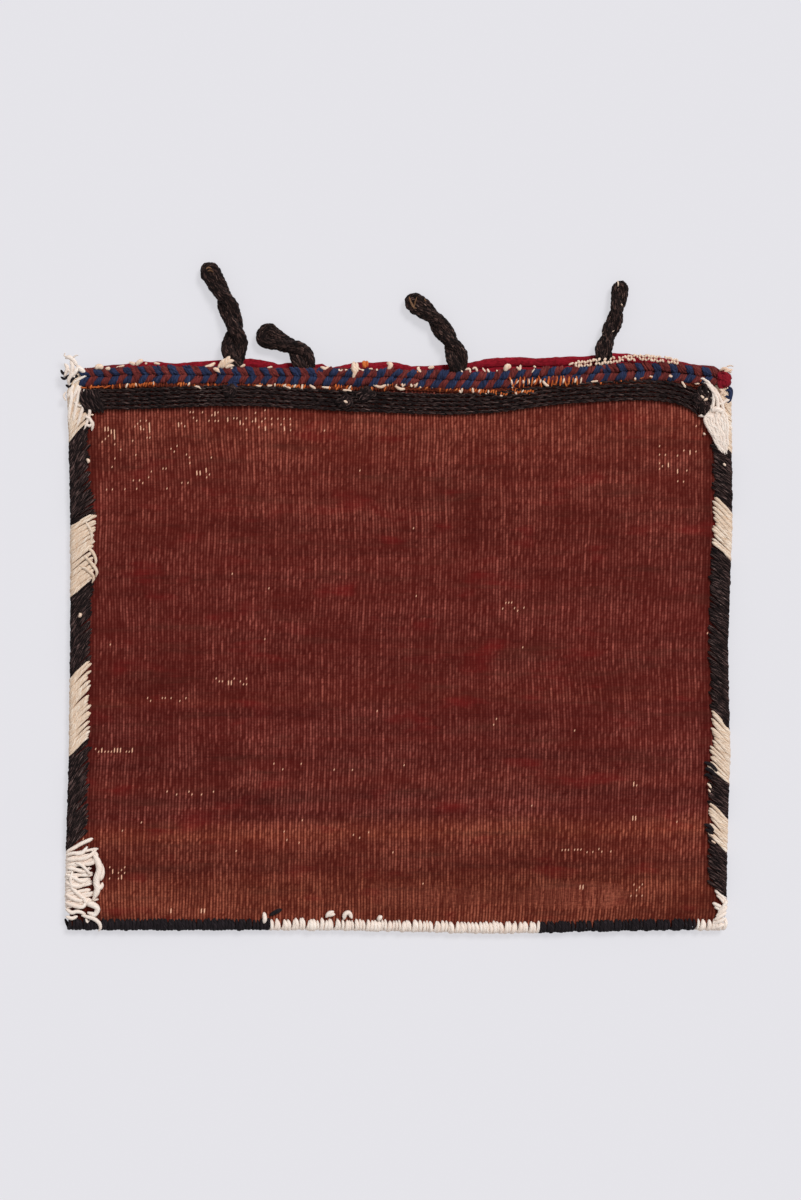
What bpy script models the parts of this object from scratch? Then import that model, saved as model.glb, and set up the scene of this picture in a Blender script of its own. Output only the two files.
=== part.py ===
# Tribal woven storage bag lying on its back, mouth towards +Y, photographed face up (+Z).
# Two flat-woven wool panels are overcast together down both sides and along the bottom
# with black and white yarn. The mouth carries a rolled lip, twined rows and four loops.
# Metres, +Z up, origin under the middle of the bag on the surface that it lies on.

import math

import bpy
import bmesh
import numpy as np
from mathutils import noise, Vector

mm = 0.001

# Cloth
clothThickness = 2.4 * mm
fitGap = 0.3 * mm
ribCount = 52
ribHeight = 0.6 * mm
pocketRise = 8.8 * mm
riseWidth = 70 * mm
dropWidth = 24 * mm
waveHeight = 0.7 * mm
waveLength = 150 * mm

# Outline, given at the heights where the cloth has a row of points
bottomY = -221.8 * mm
bottomSag = 2.4 * mm
bottomSagX = 75 * mm
bottomSagWidth = 85 * mm
rowY = [-218.6 * mm, -208 * mm, -194 * mm, -160 * mm, -90 * mm, 0.0, 100 * mm, 216 * mm]
leftEdge = [-259.5 * mm, -260.2 * mm, -260.5 * mm, -260.5 * mm, -259 * mm, -256.8 * mm, -256.8 * mm, -259 * mm]
rightEdge = [253.5 * mm, 255 * mm, 255.8 * mm, 256 * mm, 259 * mm, 256.8 * mm, 260.2 * mm, 259 * mm]

# How far the front lip lies above or below its row, from the left corner to the right
lipX = [-258 * mm, -190 * mm, -80 * mm, 0.0, 60 * mm, 118 * mm, 195 * mm, 235 * mm, 258 * mm]
lipShift = [-0.5 * mm, 1.2 * mm, 0.0, -1 * mm, -3.2 * mm, 0.0, 4 * mm, 1.5 * mm, -1.5 * mm]

# Rolled lip of the back panel
rollWidth = 7 * mm
rollHeight = 4 * mm
rollX = [-250 * mm, -200 * mm, -150 * mm, -100 * mm, -55 * mm, 0.0, 50 * mm, 90 * mm, 140 * mm, 195 * mm,
         225 * mm, 250 * mm]
rollY = [214.6 * mm, 218.6 * mm, 218.6 * mm, 217.4 * mm, 214.4 * mm, 218.4 * mm, 218.6 * mm, 221.6 * mm,
         221.8 * mm, 222.6 * mm, 218 * mm, 212.4 * mm]

# Overcast edges
yarnThickness = 1.5 * mm
sideWrapWidth = 19 * mm
bottomWrapWidth = 10.8 * mm
wrapShoulder = 1.6 * mm
clothInset = 3.2 * mm
wrapSlope = 0.8
wrapPitch = 16 * mm
wrapRidge = 0.5 * mm
wrapEndGap = 0.8 * mm
sideBottomY = bottomY + bottomWrapWidth + fitGap

# Where the yarn changes colour down the outer edge of each side, and along the bottom
leftWraps = [("white", 196.4), ("black", 157.5), ("white", 92.3), ("black", 36.7), ("white", -27.3),
             ("black", -87.4), ("tangle", -160.7)]
rightWraps = [("white", 195.6), ("black", 149.8), ("white", 101.4), ("black", 66.3), ("white", -66.3),
              ("black", -108.4), ("white", -137.3), ("black", -162.2), ("corner", -197.3)]
bottomWraps = [("black_left", -259.6), ("white", -101.4), ("black_right", 108.4), ("corner", 230.1)]
bottomWrapsEnd = 254 * mm

# Rows worked on the front lip
twineWidth = 7 * mm
twineHeight = 4.4 * mm
twinePitch = 11.3 * mm
twineStart = -245.4 * mm
twineEnd = 245.4 * mm
stitchRowWidth = 3.2 * mm
cordDiameter = 2.95 * mm
cordCount = 5
cordStart = -229 * mm
cordEnd = 224.5 * mm

# Goat-hair closure loops
loopFlatness = 0.55
loopBaseRise = rollHeight


def clearScene():
    for item in list(bpy.data.objects):
        bpy.data.objects.remove(item, do_unlink=True)


def newCollection(name):
    collection = bpy.data.collections.new(name)
    bpy.context.scene.collection.children.link(collection)
    return collection


def newMaterial(name, colour, roughness):
    material = bpy.data.materials.new(name)
    material.use_nodes = True
    shader = material.node_tree.nodes["Principled BSDF"]
    shader.inputs["Base Color"].default_value = (*colour, 1.0)
    shader.inputs["Roughness"].default_value = roughness
    shader.inputs["Metallic"].default_value = 0.0
    return material


def smoothRise(distance, width):
    share = min(max(distance / width, 0.0), 1.0)
    return share * share * (3.0 - 2.0 * share)


def smoothLine(x, knotX, knotY):
    # A curve with level tangents at no knot: a cubic through each pair of neighbours
    place = min(max(int(np.searchsorted(knotX, x)) - 1, 0), len(knotX) - 2)
    before = max(place - 1, 0)
    after = min(place + 2, len(knotX) - 1)
    span = knotX[place + 1] - knotX[place]
    share = min(max((x - knotX[place]) / span, 0.0), 1.0)
    slopeIn = (knotY[place + 1] - knotY[before]) / (knotX[place + 1] - knotX[before])
    slopeOut = (knotY[after] - knotY[place]) / (knotX[after] - knotX[place])
    return ((2 * share ** 3 - 3 * share ** 2 + 1) * knotY[place]
            + (share ** 3 - 2 * share ** 2 + share) * span * slopeIn
            + (3 * share ** 2 - 2 * share ** 3) * knotY[place + 1]
            + (share ** 3 - share ** 2) * span * slopeOut)


def bottomLine(x):
    return bottomY - bottomSag * math.exp(-((x - bottomSagX) / bottomSagWidth) ** 2)


def outerX(side, y):
    return float(np.interp(y, rowY, leftEdge if side < 0 else rightEdge))


def frontLip(x):
    return rowY[-1] + smoothLine(x, lipX, lipShift)


def rollLine(x):
    return smoothLine(x, rollX, rollY)


# Heights where the two panels meet in the side and bottom seams
backSeamZ = yarnThickness + fitGap
frontSeamZ = backSeamZ + clothThickness + fitGap
wrapTopZ = frontSeamZ + clothThickness + fitGap + yarnThickness

# Distances of the back panel's outer columns of points from its side edges
seamColumns = [0.0, sideWrapWidth, sideWrapWidth + dropWidth]
middleColumns = 14
backColumns = 2 * (len(seamColumns) - 1) + middleColumns


def rowUndersideZ(x, row):
    # Underside of the front panel on one of its rows, without the ribs
    y = rowY[row]
    sideDistance = min(x - outerX(-1, y), outerX(1, y) - x) - sideWrapWidth - fitGap
    bottomDistance = y - rowY[1]
    share = smoothRise(sideDistance, riseWidth) * smoothRise(bottomDistance, riseWidth)
    wave = waveHeight * math.sin(2 * math.pi * x / waveLength + 0.6 * row)
    return frontSeamZ + share * (pocketRise + wave)


def frontTopZ(x, y):
    # Height of the rib crests, which everything sewn on the face lies on
    heights = [rowUndersideZ(x, row) for row in range(len(rowY))]
    return float(np.interp(y, rowY, heights)) + clothThickness + ribHeight


def addMeshObject(name, collection, material, bm):
    mesh = bpy.data.meshes.new(name)
    bm.to_mesh(mesh)
    bm.free()
    item = bpy.data.objects.new(name, mesh)
    collection.objects.link(item)
    mesh.materials.append(material)
    mesh.shade_smooth()
    mesh.set_sharp_from_angle(angle=math.radians(40))
    return item


def addSolidify(item, thickness):
    solidify = item.modifiers.new("thickness", "SOLIDIFY")
    solidify.thickness = thickness
    solidify.offset = 1.0
    solidify.use_even_offset = True


def gridSheet(name, collection, material, columns, rows, placePoint, thickness):
    # A grid of points placed by a rule, given its thickness by Solidify
    bm = bmesh.new()
    bmesh.ops.create_grid(bm, x_segments=columns, y_segments=rows, size=1.0)
    for vert in bm.verts:
        column = round((vert.co.x + 1.0) / 2.0 * columns)
        row = round((vert.co.y + 1.0) / 2.0 * rows)
        vert.co = placePoint(column, row)
    item = addMeshObject(name, collection, material, bm)
    addSolidify(item, thickness)
    return item


def addFrontPanel(collection, material):
    columns = 2 * ribCount

    def place(column, row):
        y = rowY[row]
        left = outerX(-1, y) + clothInset
        right = outerX(1, y) - clothInset
        x = left + (right - left) * column / columns
        z = rowUndersideZ(x, row)
        clear = min(x - left, right - x) > sideWrapWidth and row > 1
        if column % 2 and clear:
            z += ribHeight
        if row == 0:
            y = bottomLine(x) + clothInset
        if row == len(rowY) - 1:
            y = frontLip(x)
        return Vector((x, y, z))

    gridSheet("front_panel", collection, material, columns, len(rowY) - 1, place, clothThickness)


def backColumnX(column, y):
    # The back panel is flat but for its seams, so its columns crowd there
    left = outerX(-1, y) + clothInset
    right = outerX(1, y) - clothInset
    if column < len(seamColumns):
        return left + seamColumns[column]
    if backColumns - column < len(seamColumns):
        return right - seamColumns[backColumns - column]
    share = (column - len(seamColumns) + 1) / middleColumns
    return left + seamColumns[-1] + share * (right - left - 2 * seamColumns[-1])


def addBackPanel(collection, material):
    def place(column, row):
        y = rowY[row]
        x = backColumnX(column, y)
        inSeam = column in (0, 1, backColumns - 1, backColumns) or row in (0, 1)
        z = backSeamZ if inSeam else 0.0
        if row == 0:
            y = bottomLine(x) + clothInset
        if row == len(rowY) - 1:
            y = rollLine(x) - rollWidth / 2 - fitGap
        return Vector((x, y, z))

    gridSheet("back_panel", collection, material, backColumns, len(rowY) - 1, place, clothThickness)


def addWrap(name, collection, material, points, wrapWidth, placeProfile):
    # One run of overcasting: a channel that grips both panels, ribbed by its turns of yarn.
    # Its section runs from the inner end under the bag, round the edge, to the face.
    section = [(wrapWidth, 0.0, 0.0), (wrapShoulder, 0.0, 0.0), (0.0, wrapTopZ / 2, 0.6),
               (wrapShoulder, wrapTopZ, 1.0), (wrapWidth, wrapTopZ, 1.0)]

    def place(column, row):
        inward, z, ridgeShare = section[column]
        ridge = wrapRidge * ridgeShare * (row % 2)
        if 0 < column < len(section) - 1:
            inward -= ridge * (1.0 - ridgeShare)
        return placeProfile(row / points, inward, z + ridge * (ridgeShare == 1.0))

    gridSheet(name, collection, material, len(section) - 1, points, place, yarnThickness)


def addSideWraps(side, runs, collection, materials):
    sideName = "left" if side < 0 else "right"
    for number, (kind, top) in enumerate(runs):
        top = top * mm - (wrapEndGap if number else 0.0)
        last = number == len(runs) - 1
        bottom = sideBottomY if last else runs[number + 1][1] * mm
        topSlope = wrapSlope if number else 0.0
        bottomSlope = 0.0 if last else wrapSlope
        turns = max(2, round((top - bottom) / wrapPitch))

        def placeProfile(share, inward, z, top=top, bottom=bottom, topSlope=topSlope, bottomSlope=bottomSlope):
            upper = top + topSlope * inward
            lower = bottom + bottomSlope * inward
            y = upper + (lower - upper) * share if side < 0 else lower + (upper - lower) * share
            x = outerX(side, y) - side * inward
            return Vector((x, y, z))

        name = f"{sideName}_wrap_{number + 1}_{kind}"
        addWrap(name, collection, materials["black" if kind == "black" else "white"], 2 * turns,
                sideWrapWidth, placeProfile)


def addBottomWraps(collection, materials):
    for number, (kind, start) in enumerate(bottomWraps):
        start = start * mm + (wrapEndGap if number else 0.0)
        last = number == len(bottomWraps) - 1
        end = bottomWrapsEnd if last else bottomWraps[number + 1][1] * mm
        turns = max(2, round((end - start) / wrapPitch))

        def placeProfile(share, inward, z, start=start, end=end):
            x = start + (end - start) * share
            return Vector((x, bottomLine(x) + inward, z))

        addWrap(f"bottom_wrap_{kind}", collection, materials["black" if "black" in kind else "white"],
                2 * turns, bottomWrapWidth, placeProfile)


def ovalProfile(name, collection, width, height, sides):
    # Section of a yarn row or loop, swept along its path by a curve's bevel
    curve = bpy.data.curves.new(name, "CURVE")
    curve.dimensions = "2D"
    curve.fill_mode = "NONE"
    spline = curve.splines.new("POLY")
    spline.points.add(sides - 1)
    for index, point in enumerate(spline.points):
        angle = -2 * math.pi * (index + 0.5) / sides
        point.co = (width / 2 * math.cos(angle), height / 2 * math.sin(angle), 0.0, 1.0)
    spline.use_cyclic_u = True
    profile = bpy.data.objects.new(name, curve)
    collection.objects.link(profile)
    profile.hide_render = True
    profile.display_type = "WIRE"
    return profile


def addSweep(name, collection, material, path, radii, profile=None, diameter=0.0):
    curve = bpy.data.curves.new(name, "CURVE")
    curve.dimensions = "3D"
    curve.twist_mode = "Z_UP"
    curve.use_fill_caps = True
    if profile:
        curve.bevel_mode = "OBJECT"
        curve.bevel_object = profile
    else:
        curve.bevel_depth = diameter / 2
        curve.bevel_resolution = 1
    spline = curve.splines.new("POLY")
    spline.points.add(len(path) - 1)
    for point, place, radius in zip(spline.points, path, radii):
        point.co = (*place, 1.0)
        point.radius = radius
    curve.materials.append(material)
    item = bpy.data.objects.new(name, curve)
    collection.objects.link(item)
    return item


def addMouthRoll(collection, guides, material):
    profile = ovalProfile("roll_section", guides, rollWidth, rollHeight, 8)
    places = [backColumnX(column, rowY[-1]) for column in range(backColumns + 1)]
    path = [(x, rollLine(x), rollHeight / 2) for x in places]
    addSweep("back_mouth_roll", collection, material, path, [1.0] * len(path), profile)


def addTwinedRows(collection, guides, materials):
    # Two rows of blue and red twining, side by side, each swelling with every pair of stitches
    profile = ovalProfile("twine_section", guides, twineWidth, twineHeight, 6)
    pairs = round((twineEnd - twineStart) / twinePitch)
    for row, name in enumerate(("mouth_twine_upper", "mouth_twine_lower")):
        path = []
        radii = []
        for index in range(2 * pairs + 1):
            x = twineStart + (twineEnd - twineStart) * index / (2 * pairs)
            y = frontLip(x) - twineWidth * (0.5 + row) - fitGap * row
            path.append((x, y, frontTopZ(x, y) + fitGap + twineHeight / 2))
            radii.append(1.0 if index % 2 else 0.84)
        addSweep(name, collection, materials[row], path, radii, profile)


def lipCordX(start, end):
    # Close points on the two slopes of the face, wide ones between them
    slope = [0, 11, 22, 33, 44, 55, 66]
    near = [start + step * mm for step in slope]
    far = [end - step * mm for step in reversed(slope)]
    middle = 8
    gap = (far[0] - near[-1]) / middle
    return near + [near[-1] + gap * step for step in range(1, middle)] + far


def addLipCords(collection, materials):
    # Orange stitched line, then the band of black two-ply cords below it
    offset = 2 * twineWidth + 2 * fitGap
    places = lipCordX(twineStart, twineEnd)
    path = []
    for x in places:
        y = frontLip(x) - offset - stitchRowWidth / 2
        path.append((x, y, frontTopZ(x, y) + fitGap + stitchRowWidth / 2))
    addSweep("orange_stitch_row", collection, materials["orange"], path, [1.0] * len(path),
             diameter=stitchRowWidth)
    offset += stitchRowWidth + fitGap
    for number in range(cordCount):
        path = []
        for x in lipCordX(cordStart, cordEnd):
            y = frontLip(x) - offset - (number + 0.5) * cordDiameter - number * fitGap
            path.append((x, y, frontTopZ(x, y) + fitGap + cordDiameter / 2))
        addSweep(f"black_cord_{number + 1}", collection, materials["black"], path, [1.0] * len(path),
                 diameter=cordDiameter)


def addLump(name, collection, material, centre, halfSize, roughness, sides=10, rings=7):
    # A knot or tuft of yarn, flat underneath where it lies on the cloth
    bm = bmesh.new()
    bmesh.ops.create_uvsphere(bm, u_segments=sides, v_segments=rings, radius=1.0)
    for vert in bm.verts:
        bulge = 1.0 + roughness * noise.noise(vert.co * 1.9 + Vector(centre) * 40)
        point = vert.co * bulge
        height = max(point.z, -0.55) / 0.55 if point.z < 0 else point.z
        vert.co = Vector((centre[0] + point.x * halfSize[0], centre[1] + point.y * halfSize[1],
                          centre[2] + (height + 1.0) * halfSize[2]))
    addMeshObject(name, collection, material, bm)


def addKnots(collection, materials):
    bandY = frontLip(0.0) - 2 * twineWidth - stitchRowWidth - 3 * fitGap - 2.5 * (cordDiameter + fitGap)
    bandShift = bandY - frontLip(0.0)
    lumpLift = fitGap + 0.1 * mm
    leftX = cordStart - 5.6 * mm
    leftY = frontLip(leftX) + bandShift
    addLump("cord_end_left", collection, materials["black"],
            (leftX, leftY, frontTopZ(leftX, leftY) + lumpLift), (4.6 * mm, 8.4 * mm, 2.2 * mm), 0.12)
    rightX = cordEnd + 7.6 * mm
    rightY = frontLip(rightX) + bandShift
    addLump("cord_end_right", collection, materials["black"],
            (rightX, rightY, frontTopZ(rightX, rightY) + lumpLift), (6.6 * mm, 8.8 * mm, 2.4 * mm), 0.12)
    knotX = -36 * mm
    knotY = frontLip(knotX) + bandShift - 3 * mm
    addLump("cord_knot_middle", collection, materials["black"],
            (knotX, knotY, frontTopZ(knotX, knotY) + fitGap + cordDiameter + lumpLift),
            (7.5 * mm, 5.5 * mm, 1.4 * mm), 0.12)


def addCornerTufts(collection, materials):
    topOfCloth = frontSeamZ + clothThickness + fitGap
    addLump("left_corner_tuft", collection, materials["white"],
            (-254.4 * mm, 208.5 * mm, topOfCloth + 0.1 * mm), (7.2 * mm, 10.5 * mm, 3.6 * mm), 0.16, 12, 8)
    addLump("right_corner_lump", collection, materials["crimson"],
            (253.6 * mm, 206 * mm, topOfCloth + 0.1 * mm), (6.8 * mm, 8.8 * mm, 3.4 * mm), 0.16, 12, 8)


# Each loop from its base behind the lip to its tip: x, y and full width of the doubled cord, in mm
loopRoutes = {
    "loop_1": [(-126.5, 212.0, 14.5), (-127.4, 220.5, 15.5), (-128.6, 230.0, 17.5), (-127.6, 238.6, 18.5),
               (-128.0, 248.0, 15.5), (-129.8, 255.0, 13.2), (-132.9, 263.2, 15.0), (-136.2, 271.6, 15.6),
               (-141.0, 280.6, 11.5), (-145.0, 287.6, 15.0), (-148.2, 293.6, 15.0), (-150.2, 298.2, 8.5)],
    "loop_2": [(-72.6, 212.0, 14.5), (-72.8, 220.0, 15.5), (-75.0, 227.0, 16.5), (-80.4, 232.4, 14.5),
               (-88.6, 235.6, 12.0), (-96.0, 238.6, 14.5), (-103.4, 241.0, 17.0), (-109.0, 241.6, 11.0)],
    "loop_3": [(46.0, 210.0, 14.5), (45.6, 220.0, 15.5), (44.0, 229.0, 16.5), (39.6, 238.6, 13.6),
               (33.6, 247.0, 15.4), (26.8, 256.4, 13.4), (18.2, 263.6, 15.6), (11.4, 268.4, 15.4),
               (8.0, 274.0, 9.0)],
    "loop_4": [(159.4, 214.0, 11.5), (159.4, 224.6, 12.0), (159.8, 232.4, 13.0), (162.4, 238.6, 14.5),
               (164.6, 246.2, 13.6), (167.4, 251.0, 11.6), (169.4, 260.2, 13.0), (171.2, 268.0, 11.4),
               (172.6, 278.4, 14.4), (173.6, 284.6, 9.0)],
}
loopReach = 12 * mm


def addLoops(collection, guides, material):
    # Doubled, twisted cords: they lie on the rolled lip, then come down to the surface
    profile = ovalProfile("loop_section", guides, 1.0, loopFlatness, 8)
    for name, route in loopRoutes.items():
        path = []
        radii = []
        for x, y, width in route:
            x, y, width = x * mm, y * mm, width * mm
            halfHeight = width * loopFlatness / 2
            lipEdge = rollLine(x) + rollWidth / 2
            lift = loopBaseRise * (1.0 - smoothRise(y - lipEdge - 1.5 * mm, loopReach))
            path.append((x, y, fitGap + lift + halfHeight))
            radii.append(width)
        addSweep(name, collection, material, path, radii, profile)


def main():
    clearScene()
    bag = newCollection("storage_bag")
    guides = newCollection("section_guides")
    brickRed = newMaterial("brick_red_wool", (0.115, 0.020, 0.014), 0.92)
    crimson = newMaterial("crimson_wool", (0.24, 0.012, 0.026), 0.9)
    yarn = {
        "black": newMaterial("black_goat_hair", (0.021, 0.014, 0.013), 0.85),
        "white": newMaterial("white_cotton_yarn", (0.66, 0.55, 0.44), 0.9),
        "crimson": crimson,
        "orange": newMaterial("orange_wool", (0.45, 0.10, 0.02), 0.9),
    }
    blue = newMaterial("indigo_wool", (0.028, 0.045, 0.11), 0.9)
    red = newMaterial("madder_wool", (0.20, 0.035, 0.025), 0.9)
    loopHair = newMaterial("loop_goat_hair", (0.018, 0.012, 0.011), 0.8)
    addFrontPanel(bag, brickRed)
    addBackPanel(bag, crimson)
    addMouthRoll(bag, guides, crimson)
    addTwinedRows(bag, guides, (blue, red))
    addLipCords(bag, yarn)
    addKnots(bag, yarn)
    addSideWraps(-1, leftWraps, bag, yarn)
    addSideWraps(1, rightWraps, bag, yarn)
    addBottomWraps(bag, yarn)
    addCornerTufts(bag, yarn)
    addLoops(bag, guides, loopHair)


main()
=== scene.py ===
import math

import bpy
import numpy as np
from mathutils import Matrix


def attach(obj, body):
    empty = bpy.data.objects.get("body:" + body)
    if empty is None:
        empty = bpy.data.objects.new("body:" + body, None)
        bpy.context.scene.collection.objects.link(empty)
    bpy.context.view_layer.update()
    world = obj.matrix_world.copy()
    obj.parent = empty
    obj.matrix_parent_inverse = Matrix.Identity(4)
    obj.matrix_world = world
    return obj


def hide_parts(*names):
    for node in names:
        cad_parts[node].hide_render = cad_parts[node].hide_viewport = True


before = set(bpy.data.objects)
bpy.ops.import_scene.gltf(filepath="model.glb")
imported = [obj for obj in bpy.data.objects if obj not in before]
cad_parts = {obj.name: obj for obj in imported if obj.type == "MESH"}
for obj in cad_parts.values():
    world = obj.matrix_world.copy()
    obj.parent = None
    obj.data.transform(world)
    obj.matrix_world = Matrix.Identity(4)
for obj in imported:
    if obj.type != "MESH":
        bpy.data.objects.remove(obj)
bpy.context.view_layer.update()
print("frame loaded,", len(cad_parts), "nodes")

mm = 0.001

# The bag's own sizes, the same as the solids that the pieces below are laid on
bag = {
    "clothThickness": 2.4 * mm,
    "fitGap": 0.3 * mm,
    "pocketRise": 8.8 * mm,
    "riseWidth": 70 * mm,
    "dropWidth": 24 * mm,
    "waveHeight": 0.7 * mm,
    "waveLength": 150 * mm,
    "yarnThickness": 1.5 * mm,
    "clothInset": 3.2 * mm,
    "sideWrapWidth": 19 * mm,
    "bottomWrapWidth": 10.8 * mm,
    "rollWidth": 7 * mm,
    "rollHeight": 4 * mm,
    "bottomY": -221.8 * mm,
    "bottomSag": 2.4 * mm,
    "bottomSagX": 75 * mm,
    "bottomSagWidth": 85 * mm,
    "rowY": [-218.6, -208, -194, -160, -90, 0, 100, 216],
    "leftEdge": [-259.5, -260.2, -260.5, -260.0, -257.8, -256.6, -256.6, -259],
    "rightEdge": [253.5, 255, 255.8, 256, 258.4, 256.8, 260.2, 259],
    "lipX": [-258, -190, -80, 0, 60, 118, 195, 235, 258],
    "lipShift": [-0.5, 1.2, 0, -1, -3.2, 0, 4, 1.5, -1.5],
}
backSeamZ = bag["yarnThickness"] + bag["fitGap"]
frontSeamZ = backSeamZ + bag["clothThickness"] + bag["fitGap"]
seamTopZ = frontSeamZ + bag["clothThickness"]

# How the photograph's pixels measure the bag
photo = {"pixel": 0.78 * mm, "middleX": 399.0, "middleY": 646.0, "width": 801, "height": 1200}

# Upper edge of the crimson lip, in the photograph's pixels
lipTop = [(66, 370), (84, 367.8), (104, 365.3), (125, 363.7), (143, 360.8), (156, 361.4), (171, 362.7),
          (187, 362.4), (202, 361), (214, 360), (235, 358.8), (250, 358.6), (260, 359.2), (270, 361.7),
          (278, 364), (285, 362.2), (293, 362), (305, 362.8), (316, 364.5), (322, 363.9), (328, 367),
          (334, 367.2), (343, 365), (353, 362.2), (363, 362), (375, 362.6), (387, 361.8), (396, 362.2),
          (406, 364.6), (411, 366.2), (421, 365.8), (432, 365.3), (441, 364.2), (455, 363), (470, 362),
          (485, 359.2), (498, 357.6), (515, 356.6), (530, 357.5), (550, 357), (574, 356.5), (595, 355.3),
          (614, 353), (630, 353.6), (645, 355), (668, 358), (678, 361), (698, 364), (709, 365), (722, 367)]

# Middle line of the black band, in the photograph's pixels
bandMiddle = [(84, 400), (100, 399.5), (150, 399), (200, 397), (250, 396.5), (300, 399), (340, 401.5),
              (380, 403), (420, 404.5), (460, 405), (500, 402.5), (530, 398.5), (560, 395), (600, 392),
              (640, 390.5), (665, 392), (682, 395.5), (695, 401), (704, 409)]


def fromPhoto(px, py):
    return (px - photo["middleX"]) * photo["pixel"], (photo["middleY"] - py) * photo["pixel"]


def smoothRise(distance, width):
    share = np.clip(np.asarray(distance, float) / width, 0.0, 1.0)
    return share * share * (3.0 - 2.0 * share)


def smoothLine(x, knotX, knotY):
    # A cubic through each pair of neighbouring knots, as the lips of the bag run
    knotX = np.array(knotX, float) * mm
    knotY = np.array(knotY, float) * mm
    x = np.asarray(x, float)
    place = np.clip(np.searchsorted(knotX, x) - 1, 0, len(knotX) - 2)
    before = np.maximum(place - 1, 0)
    after = np.minimum(place + 2, len(knotX) - 1)
    span = knotX[place + 1] - knotX[place]
    share = np.clip((x - knotX[place]) / span, 0.0, 1.0)
    slopeIn = (knotY[place + 1] - knotY[before]) / (knotX[place + 1] - knotX[before])
    slopeOut = (knotY[after] - knotY[place]) / (knotX[after] - knotX[place])
    return ((2 * share ** 3 - 3 * share ** 2 + 1) * knotY[place]
            + (share ** 3 - 2 * share ** 2 + share) * span * slopeIn
            + (3 * share ** 2 - 2 * share ** 3) * knotY[place + 1]
            + (share ** 3 - share ** 2) * span * slopeOut)


rowHeights = np.array(bag["rowY"]) * mm


def outerX(side, y):
    return np.interp(y, rowHeights, np.array(bag["leftEdge" if side < 0 else "rightEdge"]) * mm)


def bottomLine(x):
    return bag["bottomY"] - bag["bottomSag"] * np.exp(-((x - bag["bottomSagX"]) / bag["bottomSagWidth"]) ** 2)


def frontLip(x):
    return rowHeights[-1] + smoothLine(x, bag["lipX"], bag["lipShift"])


def photoLineY(x, points):
    # Height on the bag of a line given in the photograph's pixels
    points = np.array(points, float)
    placeX, placeY = fromPhoto(points[:, 0], points[:, 1])
    return np.interp(x, placeX, placeY)


def rollLine(x):
    return photoLineY(x, lipTop) - bag["rollWidth"] / 2


def pocketShare(x, y):
    sideDistance = np.minimum(x - outerX(-1, y), outerX(1, y) - x) - bag["sideWrapWidth"] - bag["fitGap"]
    return smoothRise(sideDistance, bag["riseWidth"]) * smoothRise(y - rowHeights[1], bag["riseWidth"])


def faceZ(x, y):
    # Height of the front panel's upper face, which everything sewn on it lies on
    phase = 0.6 * np.interp(y, rowHeights, np.arange(len(rowHeights)))
    wave = bag["waveHeight"] * np.sin(2 * math.pi * np.asarray(x) / bag["waveLength"] + phase)
    return seamTopZ + pocketShare(x, y) * (bag["pocketRise"] + wave)


def softNoise(u, v, seed):
    # Smooth random values between -1 and 1 over a plane of cells one unit wide
    lattice = np.random.default_rng(seed).random((128, 128)) * 2 - 1
    u, v = np.broadcast_arrays(np.asarray(u, float), np.asarray(v, float))
    cellU, cellV = np.floor(u).astype(int), np.floor(v).astype(int)
    shareU, shareV = smoothRise(u - cellU, 1.0), smoothRise(v - cellV, 1.0)
    nearU, farU = cellU % 128, (cellU + 1) % 128
    nearV, farV = cellV % 128, (cellV + 1) % 128
    low = lattice[nearU, nearV] * (1 - shareU) + lattice[farU, nearV] * shareU
    high = lattice[nearU, farV] * (1 - shareU) + lattice[farU, farV] * shareU
    return low * (1 - shareV) + high * shareV


# Helpers for node trees and meshes

def put(tree, kind, feeds=None, **settings):
    # Adds a node, sets it up and feeds its inputs with values or with other nodes' outputs
    node = tree.nodes.new(kind)
    for key, value in settings.items():
        setattr(node, key, value)
    for key, value in (feeds or {}).items():
        if isinstance(value, bpy.types.NodeSocket):
            tree.links.new(value, node.inputs[key])
        else:
            node.inputs[key].default_value = value
    return node


def calc(tree, operation, first, second=0.0, third=0.0):
    return put(tree, "ShaderNodeMath", {0: first, 1: second, 2: third}, operation=operation).outputs[0]


def calcVector(tree, operation, first, second=(0.0, 0.0, 0.0)):
    return put(tree, "ShaderNodeVectorMath", {0: first, 1: second}, operation=operation).outputs[0]


def scaled(tree, vector, amount):
    return put(tree, "ShaderNodeVectorMath", {0: vector, "Scale": amount}, operation="SCALE").outputs[0]


def joined(tree, x=0.0, y=0.0, z=0.0):
    return put(tree, "ShaderNodeCombineXYZ", {0: x, 1: y, 2: z}).outputs[0]


def randomBetween(tree, low, high, seed):
    return put(tree, "FunctionNodeRandomValue", {2: low, 3: high, 8: seed}).outputs[1]


def spread(tree, middle, amount, seed):
    return randomBetween(tree, calc(tree, "SUBTRACT", middle, amount), calc(tree, "ADD", middle, amount), seed)


def perStrand(tree, value):
    return put(tree, "GeometryNodeFieldOnDomain", {0: value}, domain="CURVE", data_type="FLOAT").outputs[0]


def named(tree, name):
    return put(tree, "GeometryNodeInputNamedAttribute", {"Name": name}, data_type="FLOAT").outputs[0]


def stored(tree, geometry, name, value, domain, kind="FLOAT"):
    return put(tree, "GeometryNodeStoreNamedAttribute", {"Geometry": geometry, "Name": name, "Value": value},
               data_type=kind, domain=domain).outputs[0]


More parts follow.
